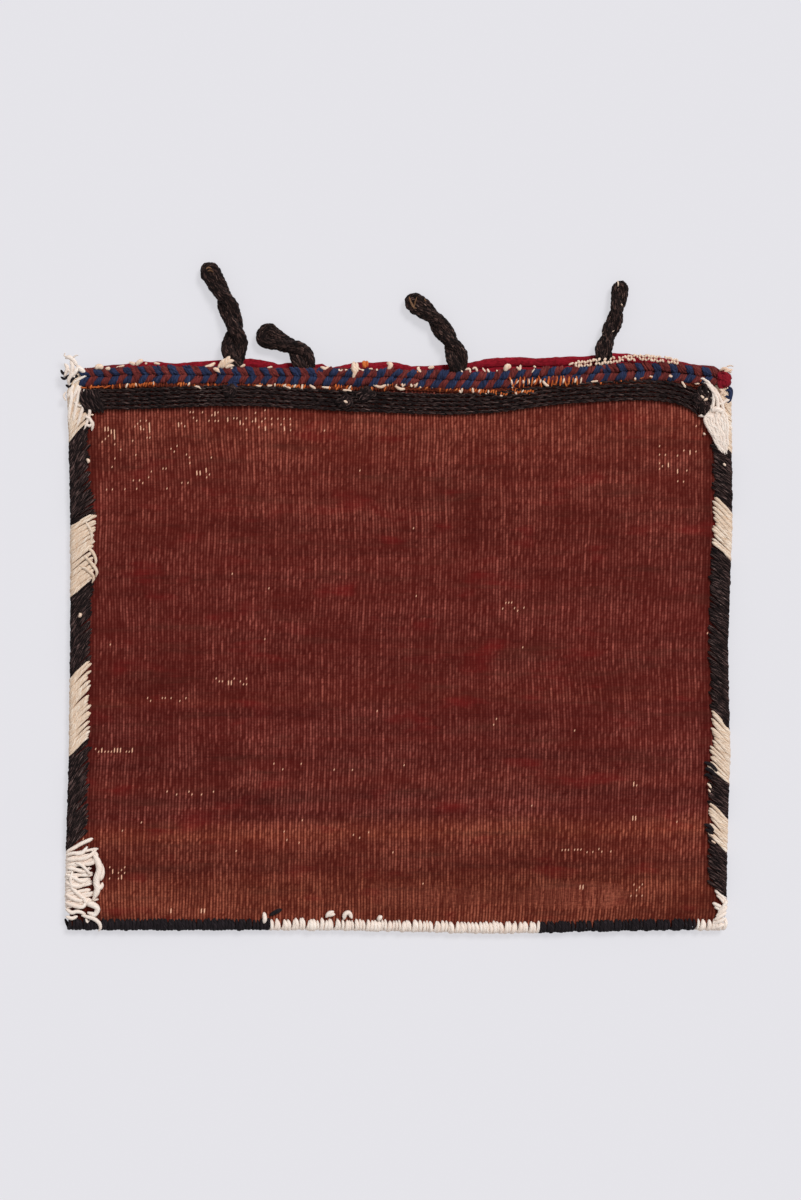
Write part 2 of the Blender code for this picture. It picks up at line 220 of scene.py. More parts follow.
def newYarnTree(name, sizes):
    # A geometry tree whose inputs are sizes, each with the value it starts from
    tree = bpy.data.node_groups.new(name, "GeometryNodeTree")
    tree.interface.new_socket("Geometry", in_out="OUTPUT", socket_type="NodeSocketGeometry")
    tree.interface.new_socket("Geometry", in_out="INPUT", socket_type="NodeSocketGeometry")
    for label, value in sizes.items():
        kind = "NodeSocketInt" if isinstance(value, int) else "NodeSocketFloat"
        kind = "NodeSocketObject" if value == "object" else kind
        socket = tree.interface.new_socket(label, in_out="INPUT", socket_type=kind)
        if kind != "NodeSocketObject":
            socket.default_value = value
    tree.interface.new_socket("Yarn", in_out="INPUT", socket_type="NodeSocketMaterial")
    return tree, tree.nodes.new("NodeGroupInput").outputs


def asCurve(tree, mesh, pitch=None):
    curve = put(tree, "GeometryNodeMeshToCurve", {"Mesh": mesh}).outputs[0]
    if pitch is None:
        return curve
    return put(tree, "GeometryNodeResampleCurve", {"Curve": curve, "Length": pitch}, mode="LENGTH").outputs[0]


def shapeOf(tree, guide):
    # The curve that a guide object holds
    return asCurve(tree, put(tree, "GeometryNodeObjectInfo", {"Object": guide}).outputs["Geometry"])


def wobbled(tree, curves, reach, grain, seed):
    # Small wandering of every strand off its line
    place = put(tree, "GeometryNodeInputPosition").outputs[0]
    shift = scaled(tree, joined(tree, 1.0, 0.6, 0.3), perStrand(tree, randomBetween(tree, 0.0, 9.0, seed)))
    moved = calcVector(tree, "ADD", scaled(tree, place, grain), shift)
    noise = put(tree, "ShaderNodeTexNoise", {"Vector": moved, "Scale": 1.0, "Detail": 1.0})
    offset = scaled(tree, calcVector(tree, "SUBTRACT", noise.outputs["Color"], (0.5, 0.5, 0.5)), reach)
    return put(tree, "GeometryNodeSetPosition", {"Geometry": curves, "Offset": offset}).outputs[0]


def skinYarn(tree, curves, thickness, sides, material):
    # Makes each curve a round yarn that keeps its place along, around and between strands
    parameter = put(tree, "GeometryNodeSplineParameter").outputs
    curves = stored(tree, curves, "along", parameter["Length"], "POINT")
    curves = stored(tree, curves, "strand", perStrand(tree, randomBetween(tree, 0.0, 1.0, 77)), "CURVE")
    ring = put(tree, "GeometryNodeCurvePrimitiveCircle", {"Resolution": sides, "Radius": 0.5}).outputs[0]
    place = put(tree, "GeometryNodeInputPosition").outputs[0]
    ring = stored(tree, ring, "around", place, "POINT", "FLOAT_VECTOR")
    skin = put(tree, "GeometryNodeCurveToMesh", {"Curve": curves, "Profile Curve": ring, "Scale": thickness,
                                                 "Fill Caps": True}).outputs[0]
    smooth = put(tree, "GeometryNodeSetShadeSmooth", {"Geometry": skin}).outputs[0]
    real = put(tree, "GeometryNodeRealizeInstances", {"Geometry": smooth}).outputs[0]
    painted = put(tree, "GeometryNodeSetMaterial", {"Geometry": real, "Material": material}).outputs[0]
    put(tree, "NodeGroupOutput", {0: painted})


def endTaper(tree, share, amount):
    # Thins a strand at both ends
    factor = put(tree, "GeometryNodeSplineParameter").outputs["Factor"]
    nearer = calc(tree, "MINIMUM", factor, calc(tree, "SUBTRACT", 1.0, factor))
    rise = calc(tree, "SMOOTH_MIN", calc(tree, "DIVIDE", nearer, share), 1.0, 0.3)
    return calc(tree, "MULTIPLY_ADD", rise, amount, 1.0 - amount)


def variedThickness(tree, given, endAmount):
    # Some strands are thicker than others, and each thins at its ends
    seed = calc(tree, "ADD", given["Seed"], 3.0)
    bulk = perStrand(tree, spread(tree, 1.0, given["Thickness Spread"], seed))
    return calc(tree, "MULTIPLY", calc(tree, "MULTIPLY", given["Thickness"], bulk),
                endTaper(tree, given["End Share"], endAmount))


def makeTurnTree():
    # Turns of overcasting: one curved turn, set again and again along the edge's line
    tree, given = newYarnTree("edgeTurns", {
        "Turn": "object", "Pitch": 3.0 * mm, "Thickness": 2.0 * mm, "Thickness Spread": 0.15,
        "Lean Spread": 0.05, "Reach Spread": 0.06, "Wobble": 0.5 * mm, "Wobble Grain": 120.0,
        "End Share": 0.03, "Sides": 7, "Seed": 1})
    edge = asCurve(tree, given["Geometry"], given["Pitch"])
    turn = shapeOf(tree, given["Turn"])
    seed = given["Seed"]
    lean = calc(tree, "ADD", spread(tree, 0.0, given["Lean Spread"], seed), named(tree, "value"))
    reach = spread(tree, 1.0, given["Reach Spread"], calc(tree, "ADD", seed, 1.0))
    placed = put(tree, "GeometryNodeInstanceOnPoints",
                 {"Points": edge, "Instance": turn, "Rotation": joined(tree, 0.0, 0.0, lean),
                  "Scale": joined(tree, reach, reach, 1.0)}).outputs[0]
    curves = put(tree, "GeometryNodeRealizeInstances", {"Geometry": placed}).outputs[0]
    curves = wobbled(tree, curves, given["Wobble"], given["Wobble Grain"], calc(tree, "ADD", seed, 2.0))
    skinYarn(tree, curves, variedThickness(tree, given, 0.5), given["Sides"], given["Yarn"])
    return tree


def makeRowTree():
    # Stitches along a row: one stitch, turned with the row and leaned, with gaps left by chance
    tree, given = newYarnTree("rowStitches", {
        "Stitch": "object", "Pitch": 5.0 * mm, "Thickness": 2.0 * mm, "Thickness Spread": 0.12,
        "Lean Spread": 0.08, "Size Spread": 0.08, "Wobble": 0.4 * mm, "Wobble Grain": 200.0,
        "Kept Share": 1.0, "End Share": 0.3, "Sides": 8, "Seed": 1})
    row = asCurve(tree, given["Geometry"], given["Pitch"])
    stitch = shapeOf(tree, given["Stitch"])
    seed = given["Seed"]
    chance = randomBetween(tree, 0.0, 1.0, calc(tree, "ADD", seed, 5.0))
    kept = calc(tree, "LESS_THAN", chance, given["Kept Share"])
    tangent = put(tree, "GeometryNodeInputTangent").outputs[0]
    facing = put(tree, "FunctionNodeAlignRotationToVector", {"Vector": tangent}, axis="X").outputs[0]
    lean = spread(tree, 0.0, given["Lean Spread"], seed)
    tilt = put(tree, "FunctionNodeAxisAngleToRotation", {"Axis": (0.0, 0.0, 1.0), "Angle": lean}).outputs[0]
    turned = put(tree, "FunctionNodeRotateRotation", {"Rotation": facing, "Rotate By": tilt}).outputs[0]
    size = spread(tree, 1.0, given["Size Spread"], calc(tree, "ADD", seed, 1.0))
    placed = put(tree, "GeometryNodeInstanceOnPoints",
                 {"Points": row, "Selection": kept, "Instance": stitch, "Rotation": turned,
                  "Scale": joined(tree, size, size, 1.0)}).outputs[0]
    curves = put(tree, "GeometryNodeRealizeInstances", {"Geometry": placed}).outputs[0]
    curves = wobbled(tree, curves, given["Wobble"], given["Wobble Grain"], calc(tree, "ADD", seed, 2.0))
    skinYarn(tree, curves, variedThickness(tree, given, 0.45), given["Sides"], given["Yarn"])
    return tree


def makePliedTree():
    # A cord of several plies, laid round its line and flattened where it is wider than high
    tree, given = newYarnTree("pliedCord", {
        "Plies": 2, "Twist Length": 9.0 * mm, "Side Reach": 0.7 * mm, "Up Reach": 0.6 * mm,
        "Ply Thickness": 1.7 * mm, "Sample Length": 1.2 * mm, "Wobble": 0.3 * mm, "Wobble Grain": 150.0,
        "Sides": 8, "Seed": 1})
    line = asCurve(tree, given["Geometry"], given["Sample Length"])
    line = put(tree, "GeometryNodeSetCurveNormal", {"Curve": line}, mode="Z_UP").outputs[0]
    start = perStrand(tree, randomBetween(tree, 0.0, 2 * math.pi, given["Seed"]))
    line = stored(tree, line, "startAngle", start, "POINT")
    copies = put(tree, "GeometryNodeDuplicateElements", {"Geometry": line, "Amount": given["Plies"]},
                 domain="SPLINE").outputs
    curves = stored(tree, copies["Geometry"], "plyNumber", copies["Duplicate Index"], "CURVE")
    length = put(tree, "GeometryNodeSplineParameter").outputs["Length"]
    turns = calc(tree, "ADD", calc(tree, "DIVIDE", length, given["Twist Length"]),
                 calc(tree, "DIVIDE", named(tree, "plyNumber"), given["Plies"]))
    angle = calc(tree, "MULTIPLY_ADD", turns, 2 * math.pi, named(tree, "startAngle"))
    normal = put(tree, "GeometryNodeInputNormal").outputs[0]
    tangent = put(tree, "GeometryNodeInputTangent").outputs[0]
    upward = calcVector(tree, "CROSS_PRODUCT", tangent, normal)
    sideways = scaled(tree, normal, calc(tree, "MULTIPLY", calc(tree, "COSINE", angle), given["Side Reach"]))
    raised = scaled(tree, upward, calc(tree, "MULTIPLY", calc(tree, "SINE", angle), given["Up Reach"]))
    curves = put(tree, "GeometryNodeSetPosition",
                 {"Geometry": curves, "Offset": calcVector(tree, "ADD", sideways, raised)}).outputs[0]
    curves = wobbled(tree, curves, given["Wobble"], given["Wobble Grain"], given["Seed"])
    thick = calc(tree, "MULTIPLY", given["Ply Thickness"], endTaper(tree, 0.01, 0.6))
    skinYarn(tree, curves, thick, given["Sides"], given["Yarn"])
    return tree


def makeStrandTree():
    # Single yarns along given lines, each as thick as the value at each point says
    tree, given = newYarnTree("laidStrands", {
        "Wobble": 0.3 * mm, "Wobble Grain": 180.0, "End Share": 0.14, "Sides": 8, "Seed": 1})
    curves = asCurve(tree, given["Geometry"])
    curves = put(tree, "GeometryNodeSetCurveNormal", {"Curve": curves}, mode="Z_UP").outputs[0]
    curves = wobbled(tree, curves, given["Wobble"], given["Wobble Grain"], given["Seed"])
    thick = calc(tree, "MULTIPLY", named(tree, "value"), endTaper(tree, given["End Share"], 0.55))
    skinYarn(tree, curves, thick, given["Sides"], given["Yarn"])
    return tree


def newObject(name, data):
    item = bpy.data.objects.new(name, data)
    bpy.context.scene.collection.objects.link(item)
    return item


def paintedMesh(name, points, faces, material):
    mesh = bpy.data.meshes.new(name)
    mesh.from_pydata(points.reshape(-1, 3).tolist(), [], faces)
    mesh.materials.append(material)
    mesh.shade_smooth()
    return mesh


def guideLines(name, lines):
    # Lines for a tree to work on: each is a list of points, or points with a value at each
    mesh = bpy.data.meshes.new(name)
    points = []
    edges = []
    values = []
    for line in lines:
        start = len(points)
        for point in line:
            points.append(tuple(float(v) for v in point[:3]))
            values.append(float(point[3]) if len(point) > 3 else 0.0)
        edges += [(index, index + 1) for index in range(start, len(points) - 1)]
    mesh.from_pydata(points, edges, [])
    mesh.attributes.new("value", "FLOAT", "POINT").data.foreach_set("value", values)
    guide = newObject(name, mesh)
    guide.hide_render = True
    return guide


def runTree(tree, lines, material, sizes):
    # Runs a tree on lines and gives back the plain mesh that it makes
    guide = guideLines("guide", lines)
    modifier = guide.modifiers.new("yarn", "NODES")
    modifier.node_group = tree
    values = dict(sizes, Yarn=material)
    for item in tree.interface.items_tree:
        if item.item_type == "SOCKET" and item.in_out == "INPUT" and item.name in values:
            modifier[item.identifier] = values[item.name]
    shape = guide.evaluated_get(bpy.context.evaluated_depsgraph_get())
    mesh = bpy.data.meshes.new_from_object(shape)
    bpy.data.objects.remove(guide, do_unlink=True)
    return mesh


def asPiece(name, meshes, standsFor):
    # One finished piece out of one or more meshes, in the frame and on its body
    meshes = meshes if isinstance(meshes, list) else [meshes]
    piece = newObject(name, meshes[0])
    if len(meshes) > 1:
        parts = [piece] + [newObject(name + "Part", mesh) for mesh in meshes[1:]]
        with bpy.context.temp_override(active_object=piece, object=piece, selected_objects=parts,
                                       selected_editable_objects=parts):
            bpy.ops.object.join()
    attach(piece, "root")
    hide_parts(*standsFor)
    return piece


def gridFaces(columns, rows):
    # Faces between the points of a grid, row after row
    index = np.arange((rows + 1) * (columns + 1)).reshape(rows + 1, columns + 1)
    quads = np.stack([index[:-1, :-1], index[:-1, 1:], index[1:, 1:], index[1:, :-1]], axis=-1)
    return quads.reshape(-1, 4)


def smoothPath(points, step):
    # A smooth curve through given points, as evenly spaced points; other values go along
    points = np.array(points, float)
    ends = np.vstack([2 * points[0] - points[1], points, 2 * points[-1] - points[-2]])
    dense = []
    for index in range(1, len(ends) - 2):
        for share in np.linspace(0, 1, 12, endpoint=False):
            a, b, c, d = ends[index - 1:index + 3]
            dense.append(0.5 * (2 * b + (c - a) * share + (2 * a - 5 * b + 4 * c - d) * share ** 2
                                + (3 * b - a - 3 * c + d) * share ** 3))
    dense = np.array([*dense, points[-1]])
    run = np.concatenate([[0], np.cumsum(np.linalg.norm(np.diff(dense[:, :3], axis=0), axis=1))])
    count = max(4, round(run[-1] / step))
    marks = np.linspace(0, run[-1], count + 1)
    return np.stack([np.interp(marks, run, dense[:, k]) for k in range(dense.shape[1])], axis=1)


def lineDirections(flat):
    # Unit directions along a flat line, and to its left
    heading = np.gradient(flat, axis=0)
    heading /= np.linalg.norm(heading, axis=1)[:, None]
    return heading, np.stack([-heading[:, 1], heading[:, 0]], axis=1)


# Colours and finishes

def linear(red, green, blue):
    def one(value):
        value = value / 255
        return value / 12.92 if value <= 0.04045 else ((value + 0.055) / 1.055) ** 2.4
    return one(red), one(green), one(blue), 1.0


def newShaderGroup(name, inputs, outputs):
    tree = bpy.data.node_groups.new(name, "ShaderNodeTree")
    for label, value in inputs.items():
        socket = tree.interface.new_socket(label, in_out="INPUT", socket_type="NodeSocketFloat")
        socket.default_value = value
    for label in outputs:
        tree.interface.new_socket(label, in_out="OUTPUT", socket_type="NodeSocketFloat")
    return tree, tree.nodes.new("NodeGroupInput").outputs


def remap(tree, value, low, high, newLow=0.0, newHigh=1.0):
    return put(tree, "ShaderNodeMapRange", {"Value": value, "From Min": low, "From Max": high,
                                            "To Min": newLow, "To Max": newHigh}).outputs[0]


def cloud(tree, vector, detail=2.0, roughness=0.5):
    return put(tree, "ShaderNodeTexNoise", {"Vector": vector, "Scale": 1.0, "Detail": detail,
                                            "Roughness": roughness}).outputs[0]


def pointValue(tree, name):
    return put(tree, "ShaderNodeAttribute", attribute_name=name).outputs["Fac"]


def makeFibreGroup():
    # Fibres that wind along a yarn, and the slow change of its dye
    inputs = {"Fibres": 3.0, "Streak Length": 6 * mm, "Twist Length": 12 * mm}
    tree, given = newShaderGroup("fibreStreaks", inputs, ["Streak", "Fine Streak", "Tone"])
    along = pointValue(tree, "along")
    strand = pointValue(tree, "strand")
    around = put(tree, "ShaderNodeAttribute", attribute_name="around").outputs["Vector"]
    angle = calc(tree, "MULTIPLY", calc(tree, "DIVIDE", along, given["Twist Length"]), 2 * math.pi)
    wound = put(tree, "ShaderNodeVectorRotate", {"Vector": around, "Angle": angle},
                rotation_type="Z_AXIS").outputs[0]
    lengthwise = calc(tree, "ADD", calc(tree, "DIVIDE", along, given["Streak Length"]),
                      calc(tree, "MULTIPLY", strand, 61.0))
    vector = calcVector(tree, "ADD", scaled(tree, wound, given["Fibres"]), joined(tree, 0.0, 0.0, lengthwise))
    fineVector = calcVector(tree, "ADD", scaled(tree, wound, calc(tree, "MULTIPLY", given["Fibres"], 3.0)),
                            joined(tree, 0.0, 0.0, calc(tree, "MULTIPLY", lengthwise, 1.7)))
    slow = calc(tree, "ADD", calc(tree, "MULTIPLY", along, 45.0), calc(tree, "MULTIPLY", strand, 23.0))
    put(tree, "NodeGroupOutput", {0: remap(tree, cloud(tree, vector, 2.0, 0.6), 0.3, 0.7),
                                  1: remap(tree, cloud(tree, fineVector, 2.0, 0.6), 0.3, 0.7),
                                  2: remap(tree, cloud(tree, joined(tree, slow, 0.0, strand), 1.0), 0.3, 0.7)})
    return tree


def makeBlotchGroup():
    # Soft blotches over an object, such as grime and fading
    tree, given = newShaderGroup("softBlotches", {"Blotch Size": 0.03}, ["Blotch"])
    place = put(tree, "ShaderNodeTexCoord").outputs["Object"]
    vector = scaled(tree, place, calc(tree, "DIVIDE", 1.0, given["Blotch Size"]))
    put(tree, "NodeGroupOutput", {0: remap(tree, cloud(tree, vector, 3.0, 0.6), 0.3, 0.7)})
    return tree


fibreGroup = makeFibreGroup()
blotchGroup = makeBlotchGroup()


def mixColour(tree, share, first, second):
    return put(tree, "ShaderNodeMix", {0: share, 6: first, 7: second}, data_type="RGBA").outputs[2]


def addBump(tree, shader, height, distance, strength):
    bump = put(tree, "ShaderNodeBump", {"Height": height, "Distance": distance, "Strength": strength})
    tree.links.new(bump.outputs[0], shader.inputs["Normal"])


def newMaterial(name, roughness, sheen):
    material = bpy.data.materials.new(name)
    material.use_nodes = True
    tree = material.node_tree
    shader = tree.nodes["Principled BSDF"]
    shader.inputs["Roughness"].default_value = roughness
    shader.inputs["Specular IOR Level"].default_value = 0.12
    shader.inputs["Sheen Weight"].default_value = sheen
    shader.inputs["Sheen Roughness"].default_value = 0.5
    return material, tree, shader


# What a yarn's finish has where its own look says nothing else
plainYarn = {"roughness": 0.85, "sheen": 0.02, "streakLength": 6 * mm, "twistLength": 12 * mm,
             "blotchSize": 20 * mm, "streakFrom": 0.0, "toneShare": 0.5, "dirtShare": 0.3,
             "fleckBand": 0.15, "fleckShare": 0.8, "bump": 0.35 * mm, "bumpStrength": 0.9}


def yarnMaterial(name, ownLook):
    # A spun yarn: darker between its fibres and lighter on them, partly the fibres' own colour and partly
    # painted shade and highlight, with a slow change of tone
    look = {**plainYarn, **ownLook}
    material, tree, shader = newMaterial(name, look["roughness"], look["sheen"])
    fibre = put(tree, "ShaderNodeGroup", node_tree=fibreGroup)
    fibre.inputs["Streak Length"].default_value = look["streakLength"]
    fibre.inputs["Twist Length"].default_value = look["twistLength"]
    blotch = put(tree, "ShaderNodeGroup", node_tree=blotchGroup)
    blotch.inputs["Blotch Size"].default_value = look["blotchSize"]
    streak = remap(tree, fibre.outputs["Streak"], look["streakFrom"], 1.0)
    colour = mixColour(tree, streak, linear(*look["dark"]), linear(*look["light"]))
    toneShare = calc(tree, "MULTIPLY", fibre.outputs["Tone"], look["toneShare"])
    colour = mixColour(tree, toneShare, colour, linear(*look["tone"]))
    dirtShare = calc(tree, "MULTIPLY", blotch.outputs["Blotch"], look["dirtShare"])
    colour = mixColour(tree, dirtShare, colour, linear(*look["dirt"]))
    # Flecks: pale hairs, and on the black yarns and the loop hair painted glints as well
    if "fleck" in look:
        fleck = calc(tree, "MULTIPLY", streak, fibre.outputs["Fine Streak"])
        fleck = remap(tree, fleck, look["fleckLevel"], look["fleckLevel"] + look["fleckBand"], 0.0,
                      look["fleckShare"])
        colour = mixColour(tree, fleck, colour, linear(*look["fleck"]))
    tree.links.new(colour, shader.inputs["Base Color"])
    height = calc(tree, "MULTIPLY_ADD", fibre.outputs["Fine Streak"], 0.4, streak)
    addBump(tree, shader, height, look["bump"], look["bumpStrength"])
    return material


yarnLooks = {
    "whiteYarn": {"dark": (200, 166, 136), "light": (255, 244, 230), "tone": (240, 212, 184),
                  "dirt": (206, 172, 144), "toneShare": 0.45, "dirtShare": 0.35, "twistLength": 16 * mm,
                  "streakLength": 9 * mm},
    "bleachedYarn": {"dark": (236, 216, 202), "light": (255, 248, 240), "tone": (248, 228, 212),
                     "dirt": (226, 196, 180), "toneShare": 0.4, "twistLength": 16 * mm,
                     "streakLength": 9 * mm},
    # The light and fleck colours of the black yarns and the loop hair are partly pale hairs and partly painted
    # glints on the plies
    "blackYarn": {"dark": (12, 6, 7), "light": (112, 86, 82), "tone": (40, 25, 25), "dirt": (20, 13, 13),
                  "streakFrom": 0.48, "toneShare": 0.35, "fleck": (150, 128, 122), "fleckLevel": 0.5,
                  "streakLength": 10 * mm, "twistLength": 24 * mm},
    "jetYarn": {"dark": (12, 9, 12), "light": (48, 40, 44), "tone": (26, 20, 24), "dirt": (16, 12, 14),
                "fleck": (86, 76, 76), "fleckLevel": 0.66},
    "loopHair": {"dark": (8, 4, 4), "light": (96, 70, 64), "tone": (34, 21, 20), "dirt": (12, 7, 7),
                 "streakFrom": 0.45, "toneShare": 0.35, "fleck": (140, 112, 100), "fleckLevel": 0.5,
                 "streakLength": 5 * mm, "twistLength": 10 * mm, "bump": 0.6 * mm},
    "blueYarn": {"dark": (8, 12, 28), "light": (60, 76, 116), "tone": (34, 36, 66), "dirt": (24, 17, 28)},
    "redYarn": {"dark": (46, 10, 11), "light": (150, 68, 62), "tone": (104, 32, 30), "dirt": (56, 20, 24)},
    "rustYarn": {"dark": (56, 16, 12), "light": (148, 66, 38), "tone": (100, 34, 18), "dirt": (44, 16, 14)},
    "orangeYarn": {"dark": (150, 46, 12), "light": (250, 154, 84), "tone": (214, 88, 26),
                   "dirt": (140, 44, 18)},
    "creamYarn": {"dark": (224, 186, 156), "light": (255, 242, 226), "tone": (250, 216, 186),
                  "dirt": (214, 160, 134)},
    "crimsonYarn": {"dark": (84, 6, 18), "light": (176, 36, 54), "tone": (136, 16, 34), "dirt": (74, 8, 18)},
    "brownYarn": {"dark": (60, 36, 24), "light": (170, 130, 98), "tone": (120, 82, 56), "dirt": (54, 34, 26)},
}
yarns = {name: yarnMaterial(name, look) for name, look in yarnLooks.items()}
print("yarn finishes made")

turnTree = makeTurnTree()
rowTree = makeRowTree()
pliedTree = makePliedTree()
strandTree = makeStrandTree()
print("yarn trees made")


# Strands laid along listed points, in the photograph's pixels: (x, y, height over the face in mm, thickness in
# mm)
def laidStrand(points, ground=None):
    line = []
    for px, py, rise, width in points:
        x, y = fromPhoto(px, py)
        base = float(faceZ(x, y)) if ground is None else ground
        line.append((x, y, base + rise * mm, width * mm))
    return smoothPath(line, 0.9 * mm)


def laidMesh(strands, colour, seed=1, wobble=0.3 * mm, ground=None):
    return runTree(strandTree, [laidStrand(points, ground) for points in strands], yarns[colour],
                   {"Seed": seed, "Wobble": wobble, "Sides": 8})


def knotStrands(px, py, radiusX, radiusY, rise, thickness, count, seed):
    # Short strands that curl over one another in a knot
    random = np.random.default_rng(seed)
    strands = []
    for _ in range(count):
        angle = random.uniform(0, 2 * math.pi)
        bend = random.uniform(-1.2, 1.2)
        shiftX, shiftY = random.normal(0, 0.35, 2)
        line = []
        for share in np.linspace(-1, 1, 5):
            turn = angle + bend * share * 0.5
            line.append((px + radiusX * (share * math.cos(turn) + shiftX * (1 - share ** 2)),
                         py + radiusY * (share * math.sin(turn) + shiftY * (1 - share ** 2)),
                         0.4 + rise * (1 - share ** 2), thickness * random.uniform(0.8, 1.15)))
        strands.append(line)
    return strands


# Closure loops: each a goat-hair cord doubled and twisted on itself, with a tight eye at its tip
loopLook = {
    "flatness": 0.66,
    "crossingReach": 2.4 * mm,
    "plies": 5,
    "plyShare": 0.44,
    "plyTwistLength": 19 * mm,
    "crossingPower": 0.7,
    "leastReach": 0.22,
    "eyeShare": 0.34,
    "tipShare": 0.4,
    "baseRise": 4 * mm,
    "reach": 12 * mm,
    "step": 1.0 * mm,
    "cordDiameter": {"loop_1": 10.8 * mm, "loop_2": 10.6 * mm, "loop_3": 10.4 * mm, "loop_4": 9.2 * mm},
    "halfTwist": {"loop_1": 27 * mm, "loop_2": 26 * mm, "loop_3": 24 * mm, "loop_4": 23 * mm},
    "eyeLength": {"loop_1": 8 * mm, "loop_2": 9 * mm, "loop_3": 7 * mm, "loop_4": 5 * mm},
}
loopRoutes = {
    "loop_1": [(-126.5, 212.0, 14.5), (-127.4, 220.5, 17.5), (-128.6, 230.0, 20.5), (-127.6, 238.6, 21.0),
               (-128.0, 248.0, 17.5), (-129.8, 255.0, 14.2), (-132.9, 263.2, 17.0), (-136.2, 271.6, 17.6),
               (-141.0, 280.6, 13.5), (-145.0, 287.6, 16.0), (-148.2, 293.6, 16.5), (-150.2, 298.2, 12.5)],
    "loop_2": [(-73.6, 212.0, 16.5), (-74.0, 220.0, 18.5), (-76.4, 227.0, 19.5), (-81.6, 232.4, 17.0),
               (-89.6, 236.0, 12.6), (-96.8, 239.4, 17.5), (-104.2, 242.4, 20.5), (-110.6, 243.4, 14.0)],
    "loop_3": [(46.0, 210.0, 15.5), (45.6, 220.0, 17.5), (44.0, 229.0, 18.0), (39.6, 238.6, 14.6),
               (33.6, 247.0, 16.0), (26.8, 256.4, 14.6), (18.2, 263.6, 16.0), (11.4, 268.4, 16.0),
               (8.0, 274.0, 12.0)],
    "loop_4": [(159.4, 214.0, 12.5), (159.4, 224.6, 13.5), (159.8, 232.4, 14.4), (162.4, 238.6, 14.6),
               (164.6, 246.2, 13.6), (167.4, 251.0, 12.6), (169.4, 260.2, 13.2), (171.2, 268.0, 12.8),
               (172.6, 278.4, 14.0), (173.6, 284.6, 11.0)],
}
# Pale and brown hairs that show on the loops, and on loop_4 two short cream strands that are a painted
# highlight: colour, height over the ground in mm, strands
loopHairsAndHighlights = {
    "loop_1": ("brownYarn", 9.6, [[(206, 270, 0, 1.2), (209, 268, 0.6, 1.4), (213, 270, 0, 1.1)],
                                  [(207, 272, 0, 0.9), (211, 271, 0.5, 1.1), (214, 273, 0, 0.8)]]),
    "loop_2": ("creamYarn", 9.8, [[(292, 344, 0, 1.0), (293, 347, 0.3, 1.3), (294, 349, 0, 0.9)],
                                  [(262, 329, -1, 0.8), (263, 333, -0.6, 0.9)]]),
    "loop_3": ("brownYarn", 9.4, [[(409, 297, 0, 1.2), (411, 303, 0.5, 1.7), (414, 308, 0.4, 1.8),
                                   (417, 309, 0, 1.2)],
                                  [(417, 297, 0, 1.1), (415, 303, 0.5, 1.3), (414, 308, 0, 1.1)],
                                  [(424, 299, 0, 0.9), (426, 302, 0.4, 1.1)]]),
    "loop_4": ("creamYarn", 9.0, [[(617, 281, 0, 0.9), (618, 284, 0.4, 1.1), (617.5, 287, 0, 0.9)],
                                  [(620, 303, 0, 1.0), (622, 306, 0.4, 1.3)],
                                  # Painted highlight across loop_4, laid as two cream strands
                                  [(602, 333, 0.4, 0.7), (607, 331, 0.8, 0.8)],
                                  [(608, 334, 0.6, 0.7), (614, 331, 0.6, 0.8)]]),
}


def loopCentre(name):
    # The line of the whole cord: out along one strand, round the eye and back along the other
    given = np.array(loopRoutes[name]) * mm
    route = smoothPath(np.column_stack([given[:, :2], np.zeros(len(given)), given[:, 2]]), loopLook["step"])
    flat = route[:, :2]
    width = route[:, 3]
    cord = loopLook["cordDiameter"][name]
    run = np.concatenate([[0], np.cumsum(np.linalg.norm(np.diff(flat, axis=0), axis=1))])
    heading, sideways = lineDirections(flat)
    eyeRadius = loopLook["eyeShare"] * cord
    stop = run[-1] - loopLook["tipShare"] * cord - eyeRadius
    lipEdge = rollLine(flat[:, 0]) + bag["rollWidth"] / 2
    lift = loopLook["baseRise"] * (1.0 - smoothRise(flat[:, 1] - lipEdge - 1.5 * mm, loopLook["reach"]))
    middle = bag["fitGap"] + lift + loopLook["flatness"] * cord / 2 + loopLook["crossingReach"]
    turn = math.pi * np.maximum(stop - loopLook["eyeLength"][name] - run, 0) / loopLook["halfTwist"][name]
    apart = np.sign(np.cos(turn)) * np.abs(np.cos(turn)) ** loopLook["crossingPower"]
    reach = np.maximum((width - cord) / 2, loopLook["leastReach"] * cord)
    kept = run <= stop
    last = np.nonzero(kept)[0][-1]
    strands = []
    for way in (1, -1):
        place = flat + sideways * (way * reach * apart)[:, None]
        height = middle + way * loopLook["crossingReach"] * np.sin(turn)
        strands.append(np.column_stack([place, height])[kept])
    tip = []
    for angle in np.linspace(0, math.pi, 12)[1:-1]:
        place = (flat[last] + sideways[last] * reach[last] * math.cos(angle)
                 + heading[last] * eyeRadius * math.sin(angle))
        tip.append([*place, middle[last]])
    return np.vstack([strands[0], np.array(tip), strands[1][::-1]])


def addLoop(name):
    centre = loopCentre(name)
    cord = loopLook["cordDiameter"][name]
    ply = loopLook["plyShare"] * cord
    sizes = {"Plies": loopLook["plies"], "Twist Length": loopLook["plyTwistLength"],
             "Side Reach": (cord - ply) / 2, "Up Reach": (cord * loopLook["flatness"] - ply) / 2 + 0.6 * mm,
             "Ply Thickness": ply, "Sample Length": 1.0 * mm, "Wobble": 2.0 * mm, "Wobble Grain": 330.0,
             "Sides": 9, "Seed": int(name[-1])}
    colour, height, strands = loopHairsAndHighlights[name]
    meshes = [runTree(pliedTree, [centre], yarns["loopHair"], sizes),
              laidMesh(strands, colour, 9, 0.2 * mm, height * mm)]
    piece = asPiece("closureLoop" + name[-1], meshes, [name])
    path = smoothPath(centre, 1.5 * mm)


for loopName in loopRoutes:
    addLoop(loopName)


